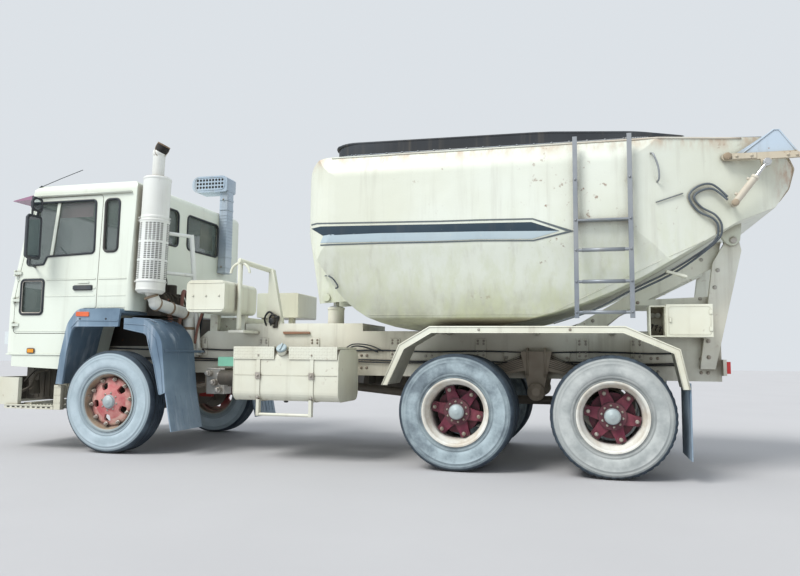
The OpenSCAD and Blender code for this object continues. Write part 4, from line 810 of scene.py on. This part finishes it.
# ---- frame: bolts, brackets, hoses
for side, s in SIDES:
    b = Geo()
    for x in (3.76, 1.43, 0.94, 0.04, -0.66, -2.86, -3.3):
        g.bolts((x - 0.03, x + 0.03), (s * 0.425,), (0.905, 1.035), (0, s, 0), 0.011, 0.009)
    for x in (1.95, 1.2, 0.6, -0.3, -1.2, -2.2, -2.7):
        b.plate(rect(x - 0.055, 1.02, x + 0.055, 1.215, 0.01), s * RAIL_SIDE, s * 0.434)
        g.bolts((x - 0.03, x + 0.03), (s * 0.434,), (1.05, 1.085, 1.165, 1.195), (0, s, 0), 0.009, 0.008)
    for x in (-1.52, -1.99):
        arc = [(x + 0.088 * cos(a), 1.06 + 0.105 * sin(a)) for a in (pi + i * pi / 12 for i in range(13))]
        b.plate([(x - 0.088, 1.085)] + arc + [(x + 0.088, 1.085)], s * RAIL_SIDE, s * 0.44)
        for i in range(5):
            a = pi + pi * (i + 0.5) / 5
            g.bolt((x + 0.066 * cos(a), s * 0.44, 1.055 + 0.078 * sin(a)), (0, s, 0), 0.01, 0.01)
    for x, z in ((-3.33, 1.05), (-3.33, 1.2), (-3.4, 1.7), (-3.43, 1.86), (-3.36, 1.45)):
        g.bolt((x, s * 0.495, z), (0, s, 0), 0.014, 0.011)
    for x, z in ((-3.28, 1.6), (-2.72, 1.568), (-2.3, 1.395), (-3.3, 1.97)):
        g.bolt((x, s * 0.425, z), (0, s, 0), 0.012, 0.01)
    b.done("frame_brackets_" + side, frame_paint, bevel=0.003)
    g.done("frame_bolts_" + side, nut_metal)
    # caps on the tub's hinge
    g.lathe([(0.03, 0), (0.03, 0.01), (0.022, 0.016), (0.01, 0.016)],
            (TIP_HINGE_X, s * 0.5555, TIP_HINGE_Z), (0, s, 0), 24)
    g.done("tip_hinge_cap_" + side, nut_metal, "tub")
    # leaves of the bogie springs, their clamps and the trunnion cap
    # black lines between the leaves: painted shade of the gaps
    for k in range(1, 8):
        reach = 0.74 - 0.075 * min(k, 4)
        pts = []
        for i in range(17):
            x = TRUNNION_X - reach + 2 * reach * i / 16
            u = max(0.0, abs(x - TRUNNION_X) - 0.08)
            lo, hi = 0.93 - 0.25 * u, 1.1 - 0.456 * u
            pts.append((x, s * 0.5508, lo + (hi - lo) * k / 8))
        g.tube(pts, 0.0026, 4)
    g.done("leaf_lines_" + side, soot, slot="dark_steel")
    for x in (-1.845, -1.675):
        g.tube([(x, s * 0.562, 0.86), (x, s * 0.562, 1.1), (x, s * 0.555, 1.118), (x, s * 0.463, 1.118),
                (x, s * 0.458, 1.1)], 0.011, 8)
        g.bolt((x, s * 0.562, 0.862), (0, 0, -1), 0.014, 0.016)
    for x in (-2.32, -1.2):
        z = 0.93 - 0.25 * 0.48 + 0.035
        g.box((x - 0.022, s * 0.462, z - 0.045), (x + 0.022, s * 0.556, z + 0.075))
    g.lathe([(0.086, 0), (0.08, 0.012), (0.05, 0.02), (0.046, 0.03), (0.03, 0.032)],
            (TRUNNION_X, s * 0.6, TRUNNION_Z), (0, s, 0), 32)
    g.bolt_ring((TRUNNION_X, s * 0.609, TRUNNION_Z), s, 0.066, range(15, 360, 60), 0.008, 0.008)
    for x in BOGIE:
        g.bolts((x - 0.055, x + 0.055), (s * 0.515,), (0.79,), (0, 0, 1), 0.013, 0.02)
    g.done("bogie_clamps_" + side, spring_steel)
    # front springs
    for x in (2.5, 2.65):
        g.tube([(x, s * 0.436, 0.44), (x, s * 0.436, 0.6), (x, s * 0.344, 0.6), (x, s * 0.344, 0.44)], 0.01, 8)
    g.done("front_u_bolts_" + side, spring_steel)
    # air lines along the rail and a loop to each axle
    for k, z in enumerate((1.085, 0.985, 0.965)):
        pts = [(3.5 - i * 0.3, s * (0.437 + 0.004 * k), z + 0.006 * sin(i * 1.7 + k)) for i in range(23)]
        hose(pts, 0.008 - 0.001 * k, 6, 3)
    for x in BOGIE:
        hose([(x + 0.35, s * 0.445, 0.98), (x + 0.28, s * 0.47, 0.82), (x + 0.16, s * 0.44, 0.7),
              (x + 0.1, s * 0.36, 0.62)], 0.01, 6)
    g.done("air_lines_" + side, black_rubber)
    # brake chambers on the driven axles, inside the wheels
    for x in BOGIE:
        g.lathe([(0.03, 0), (0.075, 0.01), (0.078, 0.05), (0.084, 0.055), (0.084, 0.065), (0.078, 0.07),
                 (0.075, 0.13), (0.03, 0.14)],
                (x + 0.1, s * 0.4, 0.66), (1, 0, 0.15), 20)
    g.done("brake_chambers_" + side, dark_steel)
    # shock absorbers' dust covers
    g.lathe([(0.043, 0), (0.043, 0.2), (0.039, 0.205)], (2.3455, s * 0.5, 0.78), (-0.0905, 0, 1), 24)
    g.done("shock_covers_" + side, red_paint)
    # mudguards: rolled edges and bolts
    rim = [(-0.395, 0.765), (-0.56, 1.135), (-0.846, 1.302), (-2.558, 1.302), (-2.994, 1.108), (-3.063, 0.777)]
    g.tube([(x, s * GUARD_SIDE, z + 0.001) for x, z in rim], 0.007, 6)
    g.tube(flat(((-0.447, 0.765), (-0.603, 1.099), (-0.862, 1.251), (-2.543, 1.251), (-2.949, 1.077), (-3.011, 0.777)),
                s * 1.2405), 0.005, 6)
    g.done("guard_edges_" + side, cream)
    g.bolts((-0.88, -1.76, -2.48), (s * 0.7, s * 0.95, s * 1.18), (1.302,), (0, 0, 1), 0.01, 0.007)
    g.bolts((-1.3, -2.1), (s * GUARD_SIDE,), (1.277,), (0, s, 0), 0.009, 0.007)
    g.bolts((-3.075,), (s * 0.72, s * 0.93, s * 1.14), (0.8, 0.74), (-1, 0, 0), 0.01, 0.007)
    g.done("guard_bolts_" + side, nut_metal)
    # flaps: moulded ribs
    for y in (0.72, 0.86, 1.0, 1.14):
        g.box((-3.0785, s * (y - 0.012), 0.26), (-3.0748, s * (y + 0.012), 0.7))
    for k in range(6):
        y = 0.7 + k * 0.09
        g.tube([(1.7995 + 0.0865 * (z - 0.25) / 0.41 - 0.001, s * y, z) for z in (0.3, 0.6)], 0.004, 6)
    g.done("flap_ribs_" + side, fender_plastic, bevel=0.001)
    for k in range(3):
        g.tube(flat(((2.361, 1.402), (2.161, 1.39), (2.071, 1.355)), s * (0.75 + k * 0.2)), 0.007, 6)
    g.tube(flat(((2.4, 1.288), (2.13, 1.236), (2.09, 1.1), (2.022, 0.906), (1.952, 0.62)), s * 1.236), 0.006, 6)
    g.tube(flat(((2.4, 1.34), (2.15, 1.325), (2.02, 1.18), (1.94, 0.86), (1.915, 0.64)), s * 1.237), 0.005, 6)
    g.done("tail_ribs_" + side, fender_plastic, bevel=0.001)
    # steps: punched tops and toes
    # punched holes in the tops and toes: black discs and strips, painted shade of the openings
    for i in range(14):
        for j in range(5):
            g.lathe([(0.012, -0.001), (0.012, 0.0012)],
                    (3.27 + i * 0.043, s * (0.995 + j * 0.048), 0.47), (0, 0, 1), 10)
    for i in range(9):
        g.box((3.27 + i * 0.065, s * 1.2195, 0.443), (3.305 + i * 0.065, s * 1.2208, 0.457))
    g.done("step_holes_" + side, soot)
    for z in (0.5, 0.58, 0.66):
        g.box((3.156, s * 1.2148, z), (3.232, s * 1.2175, z + 0.012))
    g.tube([(3.236, s * 1.2205, 0.47), (3.86, s * 1.2205, 0.47)], 0.006, 6)
    g.done("step_edges_" + side, cream, bevel=0.001)
    # dark splash plates and pipes in the open side of the bumper
    g.box((3.6, s * 0.73, 0.5), (4.035, s * 0.736, 0.9))
    g.box((4.03, s * 0.48, 0.5), (4.036, s * 1.02, 0.755))
    for k in range(5):
        g.box((3.63 + k * 0.075, s * 0.736, 0.53), (3.655 + k * 0.075, s * 0.744, 0.87))
    g.lathe([(0.02, 0), (0.055, 0.01), (0.055, 0.15), (0.045, 0.16), (0.02, 0.165)], (3.8, s * 0.86, 0.56),
            (0.1, 0, 1), 18)
    hose([(3.6, s * 0.9, 0.84), (3.72, s * 0.93, 0.8), (3.78, s * 0.95, 0.66), (3.92, s * 0.92, 0.6),
          (4.02, s * 0.9, 0.58)], 0.016)
    hose([(3.56, s * 0.8, 0.92), (3.7, s * 0.83, 0.86), (3.86, s * 0.82, 0.82), (4.0, s * 0.8, 0.7)], 0.012)
    g.done("splash_" + side, underside, bevel=0.001)

# ---- fuel tank: tread pattern, cap, straps' bolts
def tears(x0, x1, v0, v1, put, pitch=0.026):
    """Rows of raised tears, each row turned against the last."""
    rows, cols = int((v1 - v0) / pitch), int((x1 - x0) / pitch)
    for j in range(rows):
        for i in range(cols):
            x, v = x0 + (i + 0.5) * (x1 - x0) / cols, v0 + (j + 0.5) * (v1 - v0) / rows
            a = pi / 4 if (i + j) % 2 else -pi / 4
            c, d = cos(a), sin(a)
            put([(x + c * u - d * w, v + d * u + c * w)
                 for u, w in ((-0.011, 0), (0, -0.0028), (0.011, 0), (0, 0.0028))])


for a, b in ((0.066, 0.552), (0.717, 1.146)):
    tears(a, b, 0.994, 1.108, lambda q: g.plate(q, 1.2055, 1.2078))
    tears(a, b, 0.63, 1.2, lambda q: g.plate(q, 1.1115, 1.1135, 2), 0.032)
g.done("tank_tread", cream)
mouth, lean = Vector((0.634, 1.105, 0.995)), Vector((0, sin(radians(45)), cos(radians(45))))
tip = mouth + lean * 0.134
g.lathe([(0.05, 0), (0.053, 0.006), (0.053, 0.02), (0.046, 0.027), (0.016, 0.027), (0.014, 0.03)], tip, lean, 28)
turned = Matrix.Translation(tip) @ lean.to_track_quat("Z", "X").to_matrix().to_4x4()
g.box((-0.045, -0.008, 0.026), (0.045, 0.008, 0.04), turned)
g.done("filler_cap", hub_grey, bevel=0.002)
for x in (0.32, 0.88):
    g.bolts((x,), (1.203,), (0.62, 1.03), (0, 1, 0), 0.009, 0.01)
    g.box((x - 0.026, 1.2025, 0.8), (x + 0.026, 1.212, 0.86))
    g.bolt((x, 1.212, 0.83), (0, 1, 0), 0.011, 0.016)
    g.bolts((x + 0.01,), (1.165, 1.185), (0.5995,), (0, 0, 1), 0.008, 0.006)
g.done("strap_bolts", nut_metal)
for x in (0.052, 1.148):
    g.tube(flat(rect(0.602, 0.587, 1.193, 1.083, 0.09), x, 0), 0.006, 6, True)
g.tube([(0.06, 1.196, 0.835), (1.14, 1.196, 0.835)], 0.003, 6)
g.done("tank_seams", cream)
g.lathe([(0.022, 0), (0.022, 0.012), (0.012, 0.016)], (0.62, 1.1, 0.584), (0, 0, -1), 12)
hose([(0.16, 0.62, 1.09), (0.1, 0.58, 1.13), (0.0, 0.5, 1.12), (-0.12, 0.45, 1.07)], 0.009, 6)
hose([(0.2, 0.62, 1.09), (0.12, 0.56, 1.15), (-0.04, 0.49, 1.14), (-0.18, 0.45, 1.08)], 0.007, 6)
g.done("fuel_lines", black_rubber)

# ---- behind the cab: hoses, ribbed filter, valves, plate
g.box((2.2, 0.46, 1.44), (2.365, 0.9, 1.66))
g.cyl((2.28, 0.6, 1.66), (2.28, 0.6, 1.8), 0.065, 20)
g.cyl((2.26, 0.82, 1.66), (2.26, 0.82, 1.76), 0.045, 16)
for k in range(6):
    y = 0.48 + k * 0.075
    hose([(2.19, y, 1.48), (2.15, y + 0.02, 1.58 + 0.02 * (k % 3)), (2.2, y + 0.03, 1.68),
          (2.3, y, 1.7 + 0.015 * (k % 2))], 0.012, 8, 5)
for k in range(4):
    hose([(2.3, 0.66 + k * 0.05, 1.72), (2.28, 0.7 + k * 0.05, 1.86 + 0.02 * k), (2.31, 0.78 + k * 0.03, 1.94),
          (2.37, 0.8 + k * 0.02, 1.86)], 0.01, 8, 5)
g.done("engine_clutter", underside, bevel=0.004)
for k in range(9):
    g.lathe([(0.026, 0), (0.031, 0.008), (0.026, 0.016)], Vector((2.175, 0.84 - 0.012 * k, 1.62 - 0.028 * k)),
            Vector((-0.02, -0.4, -1)), 16)
g.done("bellows_hose", hose_red)
hose([(2.16, 0.62, 1.3), (2.1, 0.66, 1.48), (2.13, 0.6, 1.66), (2.2, 0.45, 1.74), (2.26, 0.25, 1.62)], 0.022, 10, 8)
hose([(2.0, 0.52, 1.15), (1.95, 0.55, 1.35), (1.93, 0.5, 1.5), (1.98, 0.4, 1.58)], 0.015, 8, 8)
g.done("red_hoses", hose_red)
for k in range(3):
    hose([(1.17 - k * 0.05, 0.4, 1.32), (1.19 - k * 0.06, 0.45, 1.42), (1.13 - k * 0.04, 0.47, 1.5 - 0.03 * k),
          (1.06 - k * 0.02, 0.45, 1.44), (1.05 + k * 0.02, 0.43, 1.33)], 0.011)
g.cyl((1.1, 0.4, 1.4), (1.1, 0.47, 1.4), 0.035, 20)
for k in range(3):
    y = 0.3 + k * 0.16
    hose([(1.86, y, 1.5 + k * 0.05), (1.95, y + 0.02, 1.62), (2.04, y, 1.5), (2.1, y - 0.05, 1.32),
          (2.14, y - 0.08, 1.16)], 0.013)
g.done("cab_hoses", black_rubber)
rows = [(r, i * 0.017 + h) for i in range(12) for r, h in ((0.074, 0), (0.08, 0.006), (0.074, 0.012))]
g.lathe([(0.02, -0.005)] + rows + [(0.02, 0.205)], (1.365, 0.7, 0.785), (1, 0, 0), 28)
g.box((1.37, 0.425, 0.8), (1.56, 0.64, 0.83))
g.done("ribbed_filter", dark_steel)
for x, z in ((1.62, 0.8), (1.7, 0.72), (1.64, 0.64), (1.76, 0.82)):
    g.lathe([(0.03, 0), (0.036, 0.012), (0.036, 0.055), (0.024, 0.062), (0.024, 0.085)], (x, 0.58, z), (0, 1, 0.1), 16)
g.box((1.58, 0.425, 0.6), (1.8, 0.585, 0.88))
g.done("valve_cluster", nut_metal, bevel=0.004)
g.plate([(0.97, 1.284), (0.662, 1.284), (0.65, 1.262), (0.96, 1.256)], 0.4245, 0.452)
g.done("frame_guide", rust_bar, bevel=0.003)
g.plate(rect(1.41, 0.905, 1.6, 1.005, 0.01), 0.7, 0.704)
g.done("blank_green_plate", plate_green)
g.box((1.44, 0.425, 0.94), (1.57, 0.701, 0.96))
g.done("plate_bracket", dark_steel)
for x in (1.4, 1.815):
    g.tube([(x, 0.3, 1.64), (x, 0.98, 1.64)], 0.004, 6)
for z in (1.5, 1.775):
    g.tube([(1.4, 1.0005, z), (1.8, 1.0005, z)], 0.005, 6)
g.bolts((1.45, 1.6, 1.75), (1.0,), (1.64,), (0, 1, 0), 0.01, 0.008)
g.lathe([(0.05, 0), (0.05, 0.02), (0.04, 0.03)], (1.6, 0.62, 1.804), (0, 0, 1), 24)
g.done("tank_fittings", cream, bevel=0.002)

# ---- tub: rolled rim, collar's bead and strip, seams, fittings
def tub_side(x, z, off=0.0):
    hit, normal, _, _ = tub.ray_cast(Vector((x, 3.0, z)), Vector((0, -1, 0)))
    return None if hit is None else hit + normal * off


def rim_z(x):
    if x > -2.7:
        return 3.008 - 0.013 * min(1.0, max(0.0, (0.3 - x) / 3.0))
    return 2.995 + 0.025 * min(1.0, (-2.7 - x) / 1.1)


def bead_z(x):
    return 3.146 + (0.032 * (x + 1.9) / 2.5 if x > -1.9 else 0.09 * (x + 1.9) / 1.3)


for side, s in SIDES:
    turn = (lambda p: p) if s > 0 else flipped
    pts = [tub_side(x, rim_z(x) - 0.01, 0.002) for x in (0.2 - i * 0.1 for i in range(39))]
    g.tube([turn(p) for p in pts if p], 0.009, 8)
    g.done("tub_rim_" + side, rim_rust, "tub")
    pts = [tub_side(x, 1.435 + max(0.0, -1.9 - x) * 0.47, 0.0005) for x in (0.25 - i * 0.1 for i in range(36))]
    g.tube([turn(p) for p in pts if p], 0.004, 6)
    g.done("tub_welds_" + side, tub_paint, "tub")
    # grab handle, hoses, hook and clamp, placed from the photo's view
    grip = ((650.5, 153, 0.0), (651.5, 156, 0.045), (655.5, 168, 0.055), (657, 179, 0.045), (657, 182, 0.0))
    hose([turn(on_tub(*row)) for row in grip], 0.008)
    g.done("grab_handle_" + side, galvanised, "tub")
    line = [on_tub(655.5 + 27 * i / 8, 202.5 - 9.0 * i / 8, 0.01) for i in range(9)]
    g.tube([turn(p) for p in line if p], 0.005, 6)
    outer = [(-3.452, 2.452), (-3.328, 2.57), (-3.205, 2.55), (-3.128, 2.457), (-3.205, 2.33), (-3.33, 2.262),
             (-3.372, 2.178), (-3.322, 2.052), (-3.012, 1.838), (-2.646, 1.655), (-2.316, 1.478), (-1.943, 1.35)]
    inner = [(-3.452, 2.425), (-3.335, 2.528), (-3.225, 2.51), (-3.172, 2.45), (-3.235, 2.365), (-3.35, 2.292),
             (-3.402, 2.19), (-3.35, 2.062), (-3.03, 1.815), (-2.66, 1.632)]
    for k, path in enumerate((outer, inner)):
        way_points = []
        for i, (x, z) in enumerate(path):
            wall = tub_side(x, z)
            y = 0.962 if i < 6 else 0.962 - min(0.1, 0.025 * (i - 5))
            way_points.append((x, s * max(y, (wall.y if wall else 0) + 0.02), z))
        hose(way_points, 0.0095)
    hook = ((325.5, 276, 0.01), (330, 275.5, 0.03), (335, 279, 0.035), (339, 286, 0.03), (336, 288, 0.012))
    hose([turn(on_tub(*row)) for row in hook], 0.007, 8, 5)
    g.done("tub_lines_" + side, hose_grey, "tub", replaces=["tub_hoses"] if s > 0 else ())
    g.plate([(-2.934, 1.824), (-3.107, 1.771), (-3.107, 1.749), (-2.934, 1.8)], s * 0.85, s * 0.935)
    g.done("clamp_bracket_" + side, cream, "tub", 0.002)
    # collar: strip and bolts round it, and its thick upper edge
    ring = rounded([(-3.12, 0.827, 0), (-2.7, 0.958, 0.7), (0.258, 0.958, 0.27), (0.258, -0.958, 0.27)], 10)
    ring = [p for p in ring if p[1] >= -0.001]
    fine = []
    for (x0, y0), (x1, y1) in zip(ring, ring[1:]):
        k = max(1, int(hypot(x1 - x0, y1 - y0) / 0.16))
        fine += [(x0 + (x1 - x0) * i / k, y0 + (y1 - y0) * i / k) for i in range(k)]
    fine.append(ring[-1])
    low = [(x, s * y, rim_z(x) + 0.04) for x, y in fine]
    g.tube(low, 0.007, 4)
    for i in range(1, len(fine) - 1):
        (x0, y0), (x1, y1) = fine[i - 1], fine[i + 1]
        d = Vector((x1 - x0, y1 - y0, 0)).normalized()
        n = Vector((d.y, -d.x, 0))
        if n.dot(Vector((x0 + 1.3, y0, 0))) < 0:
            n = -n
        x, y = fine[i]
        g.bolt((x + n.x * 0.004, s * (y + n.y * 0.004), rim_z(x) + 0.04), (n.x, s * n.y, 0), 0.009, 0.008)
    g.done("collar_strip_" + side, galvanised, "tub")
    g.tube([(x, s * (y - 0.014 if x < 0.2 else y), bead_z(x)) for x, y in fine], 0.015, 8)
    g.done("collar_bead_" + side, black_rubber, "tub")
    g.plate(rect(-3.125, 3.0, -3.112, 3.062), s * 0.8, s * 0.858)
    g.done("collar_end_" + side, galvanised, "tub", 0.002)
    inner_rim = [(-3.125, 0.835), (-3.5, 0.735), (-3.8, 0.69)]
    for (x0, y0), (x1, y1) in zip(inner_rim, inner_rim[1:]):
        g.plate([(x0, s * y0), (x1, s * y1), (x1, s * (y1 + 0.012)), (x0, s * (y0 + 0.012))], 2.985, 3.052, 2)
    g.done("rim_strip_" + side, galvanised, "tub", 0.002)
    if s > 0:  # ladder: non-slip sleeves and bolts
        for z in (1.43, 1.7, 1.98):
            g.lathe([(0.0175, 0), (0.0175, 0.36)], (-2.57, 1.2, z), (1, 0, 0), 10)
        g.bolts((-2.16, -2.625), (1.215,), (2.615, 2.248, 1.43, 1.7, 1.98), (0, 1, 0), 0.009, 0.008)
        g.done("ladder_fittings", galvanised, "tub")
    # gate: hinge and eye caps, stiffeners; the cylinders' glands and ports
    g.lathe([(0.034, 0), (0.034, 0.012), (0.024, 0.02), (0.01, 0.02)], (-3.464, s * 0.9495, 2.817), (0, s, 0), 24)
    g.lathe([(0.03, 0), (0.03, 0.012), (0.02, 0.018)], GATE_EYE + Vector((0, s * 0.9845, 0)), (0, s, 0), 24)
    g.done("gate_pins_" + side, pipe_rust, "tub")
    g.box((-3.7, s * 0.94, 2.79), (-3.5, s * 0.947, 2.838))
    g.tube(flat([(-3.56, 2.82), (-3.85, 3.044), (-3.892, 3.044), (-4.026, 2.846), (-4.026, 2.805)],
                s * 0.9075), 0.007, 6)
    for x, z in ((-3.66, 2.815), (-3.54, 2.815), (-3.95, 2.806), (-4.02, 2.801)):
        g.bolt((x, s * (0.947 if x > -3.75 else 0.94), z), (0, s, 0), 0.011, 0.009)
    g.done("gate_edges_" + side, gate_paint, "gate", 0.002)
    u = (ROD_EYE - GATE_EYE).normalized()
    base = GATE_EYE + Vector((0, s * 0.962, 0))
    g.lathe([(0.0305, 0.262), (0.035, 0.266), (0.035, 0.286), (0.0305, 0.29)], base, u, 24)
    for h in (0.07, 0.235):
        q = base + u * h
        g.lathe([(0.011, 0.024), (0.013, 0.03), (0.013, 0.046), (0.01, 0.05)], q, Vector((u.z, 0, -u.x)), 10)
    g.done("cylinder_glands_" + side, arm_paint, "gate_cylinders")

for y in (-0.6, -0.3, 0.0, 0.3, 0.6):
    g.box((-3.8875, y - 0.012, 3.0475), (-3.8575, y + 0.012, 3.0565))
g.tube([(-3.85, y, 3.048) for y in (-0.89, 0.89)], 0.007, 6)
g.tube([(-4.026, y, 2.851) for y in (-0.89, 0.89)], 0.007, 6)
g.done("gate_ribs", gate_paint, "gate", 0.002)

# levers and gauges in the open box by the left post; lid lines on its neighbour
for i, x in enumerate((-2.895, -2.86, -2.825)):
    g.cyl((x, 0.6, 1.285 + 0.01 * i), (x, 0.7, 1.315 + 0.01 * i), 0.006, 8)
    g.lathe([(0.004, 0), (0.013, 0.006), (0.013, 0.018), (0.004, 0.024)], (x, 0.7, 1.315 + 0.01 * i), (0, 1, 0.3), 12)
g.done("box_levers", soot)
for x in (-2.885, -2.835):
    g.lathe([(0.024, 0), (0.024, 0.02), (0.02, 0.02), (0.019, 0.016)], (x, 0.58, 1.435), (0, 1, 0), 20)
g.done("box_gauges", plate_white, slot="bright_metal")
g.tube(flat(rect(-3.3, 1.25, -2.95, 1.5, 0.02), 0.8505), 0.004, 6, True)
for z in (1.3, 1.45):
    g.box((-3.318, 0.8495, z - 0.02), (-3.288, 0.857, z + 0.02))
g.box((-2.975, 0.8495, 1.36), (-2.955, 0.862, 1.4))
g.done("box_lid", cream, bevel=0.002)

# ram: collar on the barrel
g.lathe([(0.092, -0.03), (0.098, -0.026), (0.098, -0.004), (0.092, 0.0)], (0.518, 0, 1.575), (0, 0, 1), 32)
g.done("ram_collar", frame_paint, "ram")

# ---- floor and light
floor_mat = Mat("floor")
floor_mat.out(floor_mat.mix(floor_mat.noise(0.6, 5), (0.46, 0.46, 0.475), (0.52, 0.52, 0.535)), 0.85)
floor_mat.bump(floor_mat.noise(120, 4), 0.2, 0.003, 0)
me = bpy.data.meshes.new("floor")
FLOOR = 60
me.from_pydata([(x, y, 0) for x, y in rect(-FLOOR, -FLOOR, FLOOR, FLOOR)], [], [(0, 1, 2, 3)])
me.materials.append(floor_mat.m)
floor = bpy.data.objects.new("floor", me)
scene.collection.objects.link(floor)

world = bpy.data.worlds.new("studio")
scene.world = world
scene.view_settings.view_transform = "Standard"
world.use_nodes = True
world.node_tree.nodes["Background"].inputs[0].default_value = (0.9, 0.95, 1.0, 1)
world.node_tree.nodes["Background"].inputs[1].default_value = 0.8
sun = bpy.data.lights.new("sun", "SUN")
sun.energy, sun.angle, sun.color = 2.65, radians(26), (1.0, 0.985, 0.95)
o = bpy.data.objects.new("sun", sun)
o.rotation_euler = Vector((0.55, 0.75, 1.1)).to_track_quat("Z", "Y").to_euler()
scene.collection.objects.link(o)
